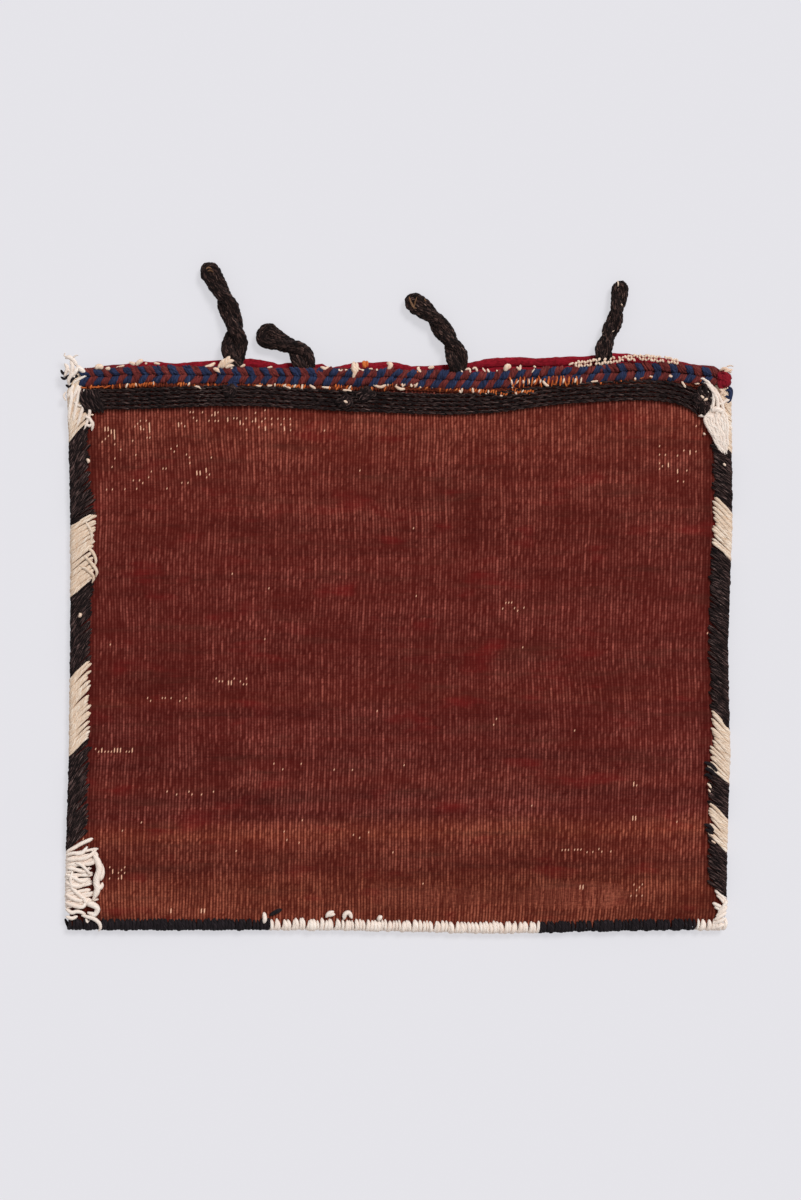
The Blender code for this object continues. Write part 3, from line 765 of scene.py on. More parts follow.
# Front panel: weft-faced wool with a rib over every warp
clothLook = {
    "width": 508 * mm,
    "faceColumns": (91, 709),
    "edgeColumns": 12,
    "strayShare": 0.0006,
    "ribPitch": 2.36 * mm,
    "ribDepth": 0.8 * mm,
    "rows": 198,
    "backRows": 8,
    "wander": 1.3 * mm,
    "fineWander": 0.35 * mm,
    "contrast": 1.15,
    "topStrength": 1.3,
    "unevenness": 0.7 * mm,
    "bandSlant": 0.012,
}

# Down the face from the photograph's rows: shade, warmth and how strongly the ribs stand out
clothBands = [
    (405, -0.08, 0.30, 0.90), (420, 0.08, 0.40, 1.10), (440, 0.04, 0.35, 1.05), (470, 0.02, 0.25, 0.90),
    (520, 0.00, 0.20, 0.80), (560, -0.02, 0.15, 0.72), (620, -0.03, 0.12, 0.72), (690, -0.02, 0.15, 0.72),
    (699, 0.06, 0.25, 0.80), (706, -0.06, 0.10, 0.75), (735, -0.08, 0.10, 0.75), (742, 0.00, 0.12, 0.80),
    (760, -0.16, 0.10, 0.90), (772, -0.05, 0.15, 0.95), (786, 0.00, 0.20, 1.05), (796, -0.26, 0.10, 1.10),
    (806, -0.10, 0.15, 1.10), (814, -0.14, 0.10, 1.10), (822, 0.00, 0.35, 1.15), (834, 0.08, 0.60, 1.25),
    (843, 0.00, 0.40, 1.15), (856, -0.04, 0.40, 1.15), (866, -0.20, 0.35, 1.05), (872, -0.08, 0.45, 1.10),
    (886, -0.07, 0.60, 1.20), (897, -0.05, 0.60, 1.25), (915, -0.11, 0.60, 1.20),
]
# Where pale specks of bare warp show: from x to x, from y to y, and how many of the ribs show one
bareRows = [
    (103, 120, 423, 441, 0.40), (134, 153, 421, 440, 0.36), (177, 186, 424, 429, 0.60),
    (190, 240, 411, 424, 0.16), (239, 298, 418, 431, 0.28), (249, 268, 405, 414, 0.12),
    (105, 135, 464, 474, 0.32), (172, 212, 468, 478, 0.36), (100, 200, 440, 490, 0.04),
    (140, 150, 480, 488, 0.28), (95, 133, 747, 752, 0.52), (160, 225, 790, 796, 0.12),
    (250, 420, 762, 772, 0.03), (100, 420, 826, 856, 0.008), (145, 188, 697, 703, 0.28),
    (215, 250, 676, 684, 0.32), (630, 645, 884, 898, 0.28), (578, 583, 884, 890, 0.6),
    (560, 621, 848, 852, 0.36), (108, 128, 866, 880, 0.40), (632, 636, 781, 785, 1.0),
    (632, 636, 815, 819, 1.0), (170, 174, 909, 914, 1.0), (201, 205, 909, 914, 1.0),
    (655, 690, 448, 482, 0.14), (500, 530, 600, 612, 0.10),
]


def clothEdges(y):
    return outerX(-1, y) + bag["clothInset"], outerX(1, y) - bag["clothInset"]


def panelPlace(across, down, topLine):
    # Place on a panel from its shares across and down from the mouth
    x = -255 * mm + across * 510 * mm
    for _ in range(3):
        top = topLine(x)
        y = top + (bottomLine(x) + bag["clothInset"] - top) * down
        left, right = clothEdges(y)
        x = left + (right - left) * across
    return x, y


def ribStrength(rib, x, y, contrast):
    # Every second rib stands out, and which ones changes here and there as the picks go. The strength sets
    # both how high a crest stands and how much painted highlight it gets in the weave's colour
    patchShift = np.round(1.3 * softNoise(x / 0.06, y / 0.03, 3))
    raised = np.where((rib + patchShift) % 2 == 0, 1.0, 0.55)
    longWear = 0.90 + 0.35 * softNoise(rib * 0.9, y / 0.05, 5)
    # Beads along each rib: in short spans its crest rises and its painted highlight brightens
    bead = 0.85 + 0.70 * softNoise(rib * 1.7 + 0.5, y / 0.0030, 6)
    patch = 0.90 + 0.40 * softNoise(x / 0.028, y / 0.013, 7)
    strength = raised * longWear * bead * patch * contrast * clothLook["contrast"]
    return np.clip(strength, 0, clothLook["topStrength"])


def addFrontCloth(material):
    ribs = round(clothLook["width"] / clothLook["ribPitch"])
    columns = 2 * ribs
    rows = clothLook["rows"]
    across, down = np.meshgrid(np.linspace(0, 1, columns + 1), np.linspace(0, 1, rows + 1))
    x, y = panelPlace(across, down, frontLip)
    inner = np.clip(np.minimum(across, 1 - across) * 25, 0, 1)
    x = x + inner * (clothLook["wander"] * softNoise(x / 0.075, y / 0.06, 1)
                     + clothLook["fineWander"] * softNoise(x / 0.009, y / 0.016, 2))
    px = x / photo["pixel"] + photo["middleX"]
    py = photo["middleY"] - y / photo["pixel"]
    bands = np.array(clothBands)
    bandRow = (py + clothLook["bandSlant"] * (px - photo["middleX"]) + 5 * softNoise(x / 0.09, 0.5, 8)
               + 1.5 * softNoise(x / 0.02, y / 0.02, 9))
    shade, warmth, contrast = (np.interp(bandRow, bands[:, 0], bands[:, k]) for k in (1, 2, 3))
    shade = shade + 0.13 * softNoise(x / 0.11, y / 0.0045, 10) + 0.06 * softNoise(x / 0.05, y / 0.03, 11)
    crest = np.arange(columns + 1) % 2 == 1
    rib = np.floor(np.arange(columns + 1) / 2)[None, :] + np.zeros_like(x)
    firstColumn, lastColumn = clothLook["faceColumns"]
    edge = smoothRise(np.minimum(px - firstColumn, lastColumn - px), clothLook["edgeColumns"])
    strength = ribStrength(rib, x, y, contrast) * crest * (0.45 + 0.55 * edge)
    shade = shade - 0.08 * (1 - edge)
    random = np.random.default_rng(17)
    chance = np.full(x.shape, clothLook["strayShare"])
    for left, right, top, low, share in bareRows:
        chance = np.where((px > left) & (px < right) & (py > top) & (py < low), share, chance)
    bare = (random.random(x.shape) < chance) * crest * 1.0
    relief = clothLook["ribDepth"] * np.where(crest, -0.5 + 0.5 * np.clip(strength + bare, 0, 1.3), -1.0)
    uneven = clothLook["unevenness"] * softNoise(x / 0.045, y / 0.045, 12) * pocketShare(x, y)
    z = faceZ(x, y) + relief + uneven
    top = np.stack([x, y, z], axis=-1)
    backRows = clothLook["backRows"]
    pick = np.round(np.linspace(0, rows, backRows + 1)).astype(int)
    under = top[pick].copy()
    under[:, :, 2] = faceZ(under[:, :, 0], under[:, :, 1]) - bag["clothThickness"]
    points = np.vstack([top.reshape(-1, 3), under.reshape(-1, 3)])
    shift = (rows + 1) * (columns + 1)
    wide = columns + 1
    faces = gridFaces(columns, rows)[:, ::-1].tolist() + (gridFaces(columns, backRows) + shift).tolist()
    for column in range(columns):
        faces.append((column, column + 1, shift + column + 1, shift + column))
        last = rows * wide + column
        lastUnder = shift + backRows * wide + column
        faces.append((last + 1, last, lastUnder, lastUnder + 1))
    for column, flip in ((0, True), (columns, False)):
        rim = [row * wide + column for row in range(rows + 1)]
        rim += [shift + row * wide + column for row in range(backRows, -1, -1)]
        faces.append(tuple(rim[::-1] if flip else rim))
    mesh = paintedMesh("frontCloth", points, faces, material)
    for name, values in (("crest", strength), ("shade", shade), ("warmth", warmth), ("bare", bare)):
        full = np.concatenate([values.ravel(), values[pick].ravel()]).astype(np.float32)
        mesh.attributes.new(name, "FLOAT", "POINT").data.foreach_set("value", full)
    mesh.set_sharp_from_angle(angle=math.radians(75))
    piece = asPiece("frontCloth", mesh, ["front_panel"])
    print("front cloth:", ribs, "ribs,", len(mesh.polygons), "faces")


def brickWeave():
    # Brick-red weave: paler crests, partly wear and partly painted highlight, on a deep red ground, warmer and
    # cooler in bands
    material, tree, shader = newMaterial("brickRedWeave", 0.92, 0.0)
    crest = pointValue(tree, "crest")
    warmth = pointValue(tree, "warmth")
    place = put(tree, "ShaderNodeTexCoord").outputs["Object"]
    ground = mixColour(tree, warmth, linear(78, 17, 13), linear(86, 28, 15))
    # Crest colour, partly wear and partly painted highlight, mixed in where the crest attribute is strong
    wornAndLitCrest = mixColour(tree, warmth, linear(154, 80, 72), linear(172, 96, 66))
    fine = cloud(tree, calcVector(tree, "MULTIPLY", place, (500.0, 700.0, 300.0)), 1.0)
    thread = cloud(tree, calcVector(tree, "MULTIPLY", place, (60.0, 900.0, 0.0)), 1.0)
    light = calc(tree, "MULTIPLY", crest, remap(tree, fine, 0.3, 0.7, 0.6, 1.25))
    colour = mixColour(tree, remap(tree, light, 0.05, 1.15), ground, wornAndLitCrest)
    red = cloud(tree, calcVector(tree, "MULTIPLY", place, (22.0, 60.0, 20.0)), 2.0)
    colour = mixColour(tree, remap(tree, red, 0.6, 0.75, 0.0, 0.5), colour, linear(112, 20, 20))
    brown = cloud(tree, calcVector(tree, "MULTIPLY", place, (14.0, 120.0, 8.0)), 3.0)
    colour = mixColour(tree, remap(tree, brown, 0.55, 0.75, 0.0, 0.4), colour, linear(78, 40, 30))
    shade = calc(tree, "ADD", calc(tree, "ADD", pointValue(tree, "shade"), 1.0),
                 remap(tree, thread, 0.3, 0.7, -0.09, 0.09))
    colour = scaled(tree, colour, shade)
    bare = remap(tree, pointValue(tree, "bare"), 0.5, 0.9)
    colour = mixColour(tree, bare, colour, linear(248, 192, 160))
    tree.links.new(colour, shader.inputs["Base Color"])
    addBump(tree, shader, calc(tree, "MULTIPLY_ADD", thread, 0.6, fine), 0.35 * mm, 0.7)
    return material


def crimsonCloth():
    # Crimson weave of the panel behind, ribbed like the front with a painted highlight on each rib's crest,
    # dull at the mouth's two ends
    material, tree, shader = newMaterial("crimsonCloth", 0.85, 0.03)
    place = put(tree, "ShaderNodeTexCoord").outputs["Object"]
    axes = put(tree, "ShaderNodeSeparateXYZ", {0: place}).outputs
    grain = cloud(tree, calcVector(tree, "MULTIPLY", place, (420.0, 900.0, 420.0)), 2.0, 0.6)
    slow = cloud(tree, scaled(tree, place, 60.0), 2.0, 0.6)
    wave = calc(tree, "COSINE", calc(tree, "MULTIPLY", axes[0], 2 * math.pi / clothLook["ribPitch"]))
    onRib = calc(tree, "MULTIPLY", remap(tree, wave, -1.0, 1.0), calc(tree, "LESS_THAN", axes[1], 0.212))
    colour = mixColour(tree, remap(tree, grain, 0.3, 0.7), linear(104, 6, 20), linear(164, 26, 44))
    colour = mixColour(tree, remap(tree, slow, 0.35, 0.7, 0.0, 0.5), colour, linear(100, 14, 22))
    # Paler stripe on each rib below the lip: a painted highlight on the crests
    colour = mixColour(tree, calc(tree, "MULTIPLY", onRib, 0.35), colour, linear(150, 70, 70))
    outward = calc(tree, "ABSOLUTE", axes[0])
    colour = mixColour(tree, remap(tree, outward, 0.19, 0.24, 0.0, 0.7), colour, linear(82, 34, 32))
    tree.links.new(colour, shader.inputs["Base Color"])
    addBump(tree, shader, calc(tree, "MULTIPLY_ADD", onRib, 1.5, grain), 0.35 * mm, 0.7)
    return material


# Back panel and its rolled lip
backLook = {"columns": 180, "rows": 120, "seamWidth": 14 * mm, "lipOverlap": 1 * mm, "lipLength": 502 * mm,
            "lipStep": 1.2 * mm, "lipSides": 18, "lumpShare": 0.16}


def backTopLine(x):
    return rollLine(x) - bag["rollWidth"] / 2 + backLook["lipOverlap"]


def addBackCloth(material):
    columns, rows = backLook["columns"], backLook["rows"]
    across, down = np.meshgrid(np.linspace(0, 1, columns + 1), np.linspace(0, 1, rows + 1))
    x, y = panelPlace(across, down, backTopLine)
    left, right = clothEdges(y)
    sideDistance = np.minimum(x - left, right - x) - bag["sideWrapWidth"]
    seam = smoothRise(sideDistance, bag["dropWidth"]) * smoothRise(y - rowHeights[1], backLook["seamWidth"])
    points = np.stack([x, y, backSeamZ * (1 - seam)], axis=-1)
    mesh = paintedMesh("backCloth", points, gridFaces(columns, rows).tolist(), material)
    piece = asPiece("backCloth", mesh, ["back_panel"])
    wall = piece.modifiers.new("clothWall", "SOLIDIFY")
    wall.thickness = bag["clothThickness"]
    wall.offset = -1.0
    shape = piece.evaluated_get(bpy.context.evaluated_depsgraph_get())
    solid = bpy.data.meshes.new_from_object(shape)
    piece.modifiers.remove(wall)
    piece.data = solid
    print("back cloth made")


def addLipRoll(material):
    length = backLook["lipLength"]
    count = round(length / backLook["lipStep"])
    sides = backLook["lipSides"]
    along, angle = np.meshgrid(np.linspace(-length / 2, length / 2, count + 1),
                               2 * math.pi * np.arange(sides) / sides, indexing="ij")
    ends = np.clip(0.35 + np.minimum(np.arange(count + 1), count - np.arange(count + 1)) / 6, 0, 1)[:, None]
    lump = softNoise(along / 0.011, angle * 1.2, 21) + 0.6 * softNoise(along / 0.0035, angle * 2.0, 22)
    swell = ends * (1 + backLook["lumpShare"] * lump)
    y = rollLine(along) + np.cos(angle) * bag["rollWidth"] / 2 * swell
    z = np.maximum(bag["rollHeight"] / 2 * (1 + np.sin(angle) * swell), 0)
    points = np.stack([along, y, z], axis=-1)
    faces = []
    for step in range(count):
        for side in range(sides):
            a = step * sides + side
            b = step * sides + (side + 1) % sides
            faces.append((a + sides, b + sides, b, a))
    faces.append(tuple(range(sides)))
    faces.append(tuple(count * sides + side for side in range(sides))[::-1])
    mesh = paintedMesh("mouthRoll", points, faces, material)
    asPiece("mouthRoll", mesh, ["back_mouth_roll"])
    print("mouth roll:", len(mesh.polygons), "faces")


crimsonFinish = crimsonCloth()
addBackCloth(crimsonFinish)
addLipRoll(crimsonFinish)
addFrontCloth(brickWeave())


# Overcasting down both sides and along the bottom
wrapLook = {
    "reach": {-1: 17.0 * mm, 1: 15.8 * mm},
    "slope": 0.9,
    "backSlope": 0.35,
    "thickness": {"white": 2.7 * mm, "black": 2.4 * mm},
    "pitch": {"white": 2.55 * mm, "black": 2.4 * mm},
    "bottomReach": 8.6 * mm,
    "bottomPitch": 2.75 * mm,
    "bottomThickness": 3.1 * mm,
    "bottomSlope": 0.1,
    "bottomStep": 5 * mm,
    "bottomGap": 1.5 * mm,
    "bottomFirstGap": 2.4 * mm,
    "sideStep": 4 * mm,
    "topGap": 0.6 * mm,
    "lowGap": 0.7 * mm,
    "endGap": {"tangle": 6 * mm, "corner": 1 * mm},
    "cornerShare": 0.6,
    "shoulder": 1.9 * mm,
}
leftRuns = [("white", 196.4), ("black", 157.5), ("white", 92.3), ("black", 36.7), ("white", -27.3),
            ("black", -87.4), ("tangle", -160.7)]
rightRuns = [("white", 195.6), ("black", 149.8), ("white", 101.4), ("black", 66.3), ("white", -66.3),
             ("black", -108.4), ("white", -137.3), ("black", -162.2), ("corner", -197.3)]
# How steeply the strands rise inward, down each side from the photograph's rows
wrapSlopes = {
    -1: [(385, 1.9), (405, 1.7), (425, 1.3), (444, 1.05), (490, 1.15), (515, 0.75), (528, 0.55), (560, 0.75),
         (599, 0.85), (640, 1.0), (681, 1.05), (720, 1.1), (758, 0.95), (800, 1.05), (851, 0.95), (854, 0.15),
         (900, 0.15), (930, 0.4)],
    1: [(385, 1.6), (455, 1.0), (480, 1.0), (516, 1.0), (540, 1.25), (561, 0.95), (640, 1.0), (731, 1.1),
        (760, 1.25), (785, 0.95), (822, 1.0), (840, 1.25), (854, 1.0), (899, 1.0), (930, 0.6)],
}
bottomRuns = [("black_left", -259.6), ("white", -101.4), ("black_right", 108.4), ("corner", 230.1)]
bottomRunsEnd = 254 * mm
sideBottomY = bag["bottomY"] + bag["bottomWrapWidth"] + bag["fitGap"]


def turnLine(reach, slope, thickness):
    # One turn seen from the end of the edge: under the bag, round the edge and over the face
    radius = thickness / 2
    low = max(radius, backSeamZ - radius * 0.6)
    high = seamTopZ + radius * 0.7
    shoulder = wrapLook["shoulder"]
    section = [(reach, low + 0.8 * mm), (reach - 2 * mm, low), (0.5 * reach, low), (shoulder + radius, low),
               (radius * 1.1, low + shoulder * 0.6), (radius, (low + high) / 2),
               (radius * 1.1, high - shoulder * 0.6), (shoulder + radius, high),
               (0.45 * reach, high + 0.2 * mm), (reach - 3 * mm, high),
               (reach - 0.8 * mm, high - 0.5 * mm), (reach, high - 1.6 * mm)]
    points = []
    for number, (inward, z) in enumerate(section):
        curl = slope * inward + 0.9 * mm * math.sin(math.pi * inward / reach)
        points.append((inward, curl if number >= 6 else -wrapLook["backSlope"] * inward, z))
    return smoothPath(points, 1.3 * mm)


def wrapLean(side, y):
    # Extra turn of the strands against their common slope, so that they follow the photograph
    rows, slopes = zip(*wrapSlopes[side])
    py = photo["middleY"] - y / photo["pixel"]
    slope = float(np.interp(py, rows, slopes))
    return -side * (math.atan(slope) - math.atan(wrapLook["slope"]))


# Loose and crossing strands on the overcasting, by side and run
sideStrands = {
    (-1, 0): ("bleachedYarn", [
        [(70, 384, 1.0, 2.4), (72, 396, 2.6, 2.8), (70, 410, 2.0, 2.6), (69, 422, 1.0, 2.2)],
        [(80, 384, 1.0, 2.4), (79, 394, 2.6, 2.8), (76, 408, 2.4, 2.8), (73, 424, 1.2, 2.2)],
        [(84, 388, 1.0, 2.2), (85, 400, 2.4, 2.6), (82, 412, 2.4, 2.8), (77, 428, 1.2, 2.2)],
        [(88, 398, 0.8, 2.0), (90, 408, 2.2, 2.4), (89, 418, 2.2, 2.6), (84, 430, 1.2, 2.0)],
        [(84, 416, 1.4, 2.2), (89, 418, 2.6, 2.8), (93, 424, 2.0, 2.6), (92, 431, 0.8, 1.8)],
        [(86, 424, 1.4, 2.0), (90, 426, 2.2, 2.4), (94, 422, 1.4, 1.8)],
        [(66, 392, 0.6, 1.8), (64, 396, 0.8, 1.6), (66, 401, 0.6, 1.6)],
        [(74, 402, 2.4, 1.6), (80, 406, 3.0, 1.8), (86, 405, 2.0, 1.6)],
    ]),
    (-1, 1): ("creamYarn", [[(87, 459, 1.6, 2.0), (89, 461, 2.2, 2.6), (88, 463, 1.6, 2.0)]]),
    (-1, 2): ("whiteYarn", [
        [(86, 522, 1.4, 2.0), (90, 528, 2.2, 2.6), (92, 536, 1.6, 2.4), (90, 545, 0.8, 1.8)],
        [(88, 548, 1.4, 2.2), (93, 552, 2.0, 2.6), (96, 560, 1.2, 2.2), (95, 566, 0.6, 1.6)],
        [(84, 556, 1.8, 2.2), (91, 562, 2.4, 2.6), (97, 571, 1.6, 2.6), (96, 577, 0.8, 1.8)],
        [(80, 566, 2.0, 2.2), (88, 570, 2.6, 2.6), (94, 577, 1.6, 2.4), (92, 583, 0.8, 1.8)],
    ]),
    (-1, 3): ("creamYarn", [[(80, 613, 1.8, 2.2), (81, 615, 2.6, 2.8), (79, 617, 1.8, 2.0)]]),
    (1, 0): ("bleachedYarn", [
        [(727, 424, 1.0, 1.8), (731, 428, 1.4, 1.8), (730, 434, 0.8, 1.4)],
        [(722, 402, 1.6, 2.0), (727, 401, 2.4, 2.2), (731, 398, 1.6, 1.8)],
    ]),
    (1, 1): ("creamYarn", [[(723, 463, 1.6, 1.8), (725, 466, 2.2, 2.2)],
                           [(703, 433, 1.4, 1.6), (705, 435, 1.8, 1.8)]]),
    (1, 4): ("jetYarn", [
        [(704, 762, 0.6, 2.4), (710, 764, 2.0, 3.0), (714, 768, 2.2, 2.8), (717, 773, 1.0, 2.0)],
        [(705, 768, 0.6, 2.4), (710, 770, 2.2, 3.2), (715, 775, 1.4, 2.4)],
        [(704, 775, 0.6, 2.2), (708, 775, 1.8, 2.6), (712, 779, 1.0, 2.0)],
    ]),
    (1, 5): ("creamYarn", [[(707, 783, 1.8, 1.4), (709, 785, 2.6, 1.8), (711, 788, 1.8, 1.4)],
                           [(708, 789, 1.8, 1.2), (710, 792, 2.6, 1.6)]]),
    (1, 6): ("jetYarn", [
        [(704, 824, 0.6, 2.2), (709, 826, 2.0, 3.0), (714, 831, 1.0, 2.2)],
        [(705, 829, 0.6, 2.2), (709, 831, 2.0, 3.0), (713, 835, 1.0, 2.2)],
    ]),
    (1, 7): ("creamYarn", [[(710, 834, 2.0, 1.4), (713, 836, 2.8, 1.8)],
                           [(711, 840, 2.0, 1.2), (715, 843, 2.8, 1.6)]]),
    (1, 8): ("bleachedYarn", [
        [(727, 900, 1.2, 2.6), (723, 906, 2.4, 3.0), (718, 912, 1.6, 2.6)],
        [(727, 906, 1.2, 2.8), (722, 911, 2.6, 3.2), (716, 916, 1.6, 2.8)],
        [(726, 912, 1.2, 2.8), (720, 916, 2.6, 3.2), (714, 920, 1.6, 2.8)],
        [(726, 918, 1.2, 2.8), (719, 921, 2.4, 3.2), (713, 924, 1.2, 2.6)],
        [(725, 924, 1.0, 2.6), (719, 926, 1.8, 2.8), (715, 928, 1.0, 2.4)],
    ]),
}
# The white tangle at the lower left corner
tangleStrands = [
    [(66, 855, 1.2, 2.6), (74, 853, 2.6, 3.0), (82, 853, 2.8, 3.2), (88, 846, 2.0, 2.6)],
    [(67, 860, 1.4, 2.8), (76, 859, 2.6, 3.2), (88, 857, 3.2, 3.4), (97, 849, 1.8, 2.6)],
    [(70, 865, 1.4, 2.6), (82, 864, 2.4, 3.0), (93, 862, 3.4, 3.6), (97, 855, 3.0, 3.2), (92, 850, 1.6, 2.6)],
    [(93, 853, 2.2, 3.6), (98, 860, 4.0, 5.0), (100, 870, 4.4, 5.4), (97, 880, 4.4, 5.2), (98, 889, 4.2, 5.0),
     (94, 899, 3.2, 4.4)],
    [(100, 862, 2.6, 3.6), (103, 871, 3.2, 4.0), (101, 880, 3.0, 3.8)],
    [(67, 868, 1.2, 2.6), (75, 869, 2.6, 3.0), (84, 871, 2.4, 3.2), (90, 867, 1.6, 2.6)],
    [(66, 874, 1.2, 2.8), (74, 877, 2.4, 3.2), (82, 881, 2.4, 3.2), (89, 879, 1.6, 2.6)],
    [(66, 882, 1.2, 2.8), (73, 885, 2.2, 3.2), (80, 886, 2.2, 3.0), (86, 882, 1.4, 2.4)],
    [(70, 886, 1.6, 2.6), (77, 892, 2.8, 3.2), (84, 898, 3.0, 3.2), (89, 906, 1.8, 2.8)],
    [(66, 894, 1.2, 2.8), (73, 898, 2.4, 3.4), (81, 900, 2.6, 3.4), (85, 895, 1.4, 2.4)],
    [(66, 902, 1.2, 2.8), (74, 905, 2.4, 3.4), (83, 906, 2.8, 3.4), (88, 900, 1.6, 2.6)],
    [(66, 909, 1.2, 2.8), (72, 912, 2.2, 3.2), (79, 911, 2.2, 3.0), (86, 914, 1.4, 2.6)],
    [(66, 916, 1.2, 2.6), (72, 918, 2.0, 3.0), (78, 916, 1.4, 2.6)],
    [(86, 903, 2.4, 4.0), (93, 904, 3.8, 5.0), (98, 908, 3.4, 4.4), (95, 914, 2.6, 4.0), (88, 912, 2.0, 3.4)],
    [(82, 915, 1.8, 2.6), (90, 917, 3.0, 3.0), (97, 920, 3.2, 3.2), (101, 926, 2.2, 2.8), (99, 931, 1.2, 2.0)],
    [(86, 917, 1.6, 1.8), (88, 922, 2.0, 2.0), (90, 920, 1.6, 1.6)],
    [(76, 862, 3.4, 2.2), (84, 866, 4.0, 2.6), (91, 874, 3.2, 2.2)],
    [(94, 884, 3.0, 3.0), (101, 887, 4.2, 3.6), (103, 882, 2.8, 2.6)],
    [(73, 871, 2.2, 2.4), (71, 880, 2.8, 2.6), (74, 889, 2.0, 2.2)],
]


def sideExtras(side, number):
    if (side, number) == (-1, len(leftRuns) - 1):
        return [laidMesh(tangleStrands, "bleachedYarn", 51, 0.9 * mm)]
    if (side, number) not in sideStrands:
        return []
    colour, strands = sideStrands[side, number]
    return [laidMesh(strands, colour, 50 + number, 0.6 * mm)]


def addSideRuns(side, runs):
    for number, (kind, top) in enumerate(runs):
        yarn = "black" if kind == "black" else "white"
        loose = kind in wrapLook["endGap"]
        thickness = wrapLook["thickness"][yarn]
        reach = wrapLook["reach"][side] * (wrapLook["cornerShare"] if kind == "corner" else 1)
        line = turnLine(reach, wrapLook["slope"], thickness)
        line[:, 0] *= -side
        turn = guideLines("turn", [line])
        top = top * mm - wrapLook["topGap"]
        if loose:
            bottom = sideBottomY + wrapLook["endGap"][kind]
        else:
            bottom = runs[number + 1][1] * mm + wrapLook["lowGap"]
        heights = [*np.arange(top, bottom, -wrapLook["sideStep"]), bottom]
        edge = [(float(outerX(side, y)), y, 0.0, wrapLean(side, y)) for y in heights]
        sizes = {"Turn": turn, "Pitch": wrapLook["pitch"][yarn], "Thickness": thickness,
                 "Thickness Spread": 0.2, "Lean Spread": 0.2 if loose else 0.06,
                 "Reach Spread": 0.18 if loose else 0.07, "Wobble": 1.1 * mm, "Wobble Grain": 110.0,
                 "End Share": 0.05, "Sides": 8, "Seed": 10 * number + side + 2}
        material = yarns["blackYarn" if yarn == "black" else ("bleachedYarn" if loose else "whiteYarn")]
        meshes = [runTree(turnTree, [edge], material, sizes), *sideExtras(side, number)]
        bpy.data.objects.remove(turn, do_unlink=True)
        node = f"{'left' if side < 0 else 'right'}_wrap_{number + 1}_{kind}"
        asPiece(node.replace("_", "-"), meshes, [node])


# Short knots of yarn that stick up from the bottom edge
bottomKnots = {
    "white": [[(326, 917, 1.6, 2.4), (329, 913, 2.8, 3.4), (334, 911, 2.0, 2.4)],
              [(328, 916, 1.6, 2.2), (332, 914, 2.6, 3.0), (335, 914, 1.6, 2.2)],
              [(344, 919, 1.6, 3.0), (345, 914, 2.8, 3.6), (349, 912, 2.8, 3.4), (352, 918, 1.8, 3.0)],
              [(378, 920, 1.4, 3.0), (380, 917, 2.8, 3.8), (382, 917, 1.8, 3.0)],
              [(264, 912, 1.4, 2.8), (265, 918, 2.8, 3.6), (264, 923, 1.4, 2.8)]],
    "black_left": [[(270, 915, 1.0, 2.6), (277, 911, 2.0, 3.4), (282, 909, 1.0, 2.4)]],
}


def addBottomRuns():
    thickness = wrapLook["bottomThickness"]
    line = turnLine(wrapLook["bottomReach"], wrapLook["bottomSlope"], thickness)
    turn = guideLines("turn", [np.column_stack([line[:, 1], line[:, 0], line[:, 2]])])
    for number, (kind, start) in enumerate(bottomRuns):
        end = bottomRunsEnd if number == len(bottomRuns) - 1 else bottomRuns[number + 1][1] * mm
        end -= wrapLook["bottomGap"]
        first = start * mm + wrapLook["bottomGap" if number else "bottomFirstGap"]
        places = [*np.arange(first, end, wrapLook["bottomStep"]), end]
        edge = [(x, float(bottomLine(x)), 0.0) for x in places]
        black = "black" in kind
        colour = "jetYarn" if black else "bleachedYarn"
        sizes = {"Turn": turn, "Pitch": wrapLook["bottomPitch"], "Thickness": thickness,
                 "Thickness Spread": 0.3, "Lean Spread": 0.1 if black else 0.2,
                 "Reach Spread": 0.06 if black else 0.1, "Wobble": 1.2 * mm, "Wobble Grain": 110.0,
                 "End Share": 0.13, "Sides": 8, "Seed": 40 + number}
        meshes = [runTree(turnTree, [edge], yarns[colour], sizes)]
        if kind in bottomKnots:
            meshes.append(laidMesh(bottomKnots[kind], colour, 70 + number))
        node = "bottom_wrap_" + kind
        asPiece(node.replace("_", "-"), meshes, [node])
    bpy.data.objects.remove(turn, do_unlink=True)


addSideRuns(-1, leftRuns)
addSideRuns(1, rightRuns)
addBottomRuns()
print("overcasting made")


# Twined rows on the front lip: blue and red yarns in turn, which slant one way or meet in points
twineLook = {
    "rowWidth": 6.3 * mm,
    "pitch": 11.6 * mm,
    "start": -245.4 * mm,
    "end": 245.4 * mm,
    "lift": 2.2 * mm,
    "yarn": 2.7 * mm,
    "yarnSpacing": 1.85 * mm,
    "stretches": [(-245.4, -62.0, -0.85, 0.85), (-62.0, 160.0, 0.8, 0.8), (160.0, 245.4, -0.6, 0.7)],
}


def lipOffsetLine(start, end, offset, lift, step=4 * mm):
    # A line along the front lip, so far below its edge and above the cloth
    count = max(2, round((end - start) / step))
    xs = np.linspace(start, end, count + 1)
    ys = frontLip(xs) - offset
    return np.column_stack([xs, ys, faceZ(xs, ys) + lift])


def stitchShape(lean, shift):
    # Three yarns side by side that rise over the row from its upper to its lower edge
    lines = []
    width = twineLook["rowWidth"] * 1.04
    for beside in (-1, 0, 1):
        line = []
        for share in np.linspace(0, 1, 8):
            across = (0.5 - share) * width
            x = shift + beside * twineLook["yarnSpacing"] + lean * across
            rise = twineLook["lift"] * math.sin(math.pi * share) ** 0.7 * (1 - 0.15 * abs(beside))
            line.append((x, across, rise))
        lines.append(line)
    return lines


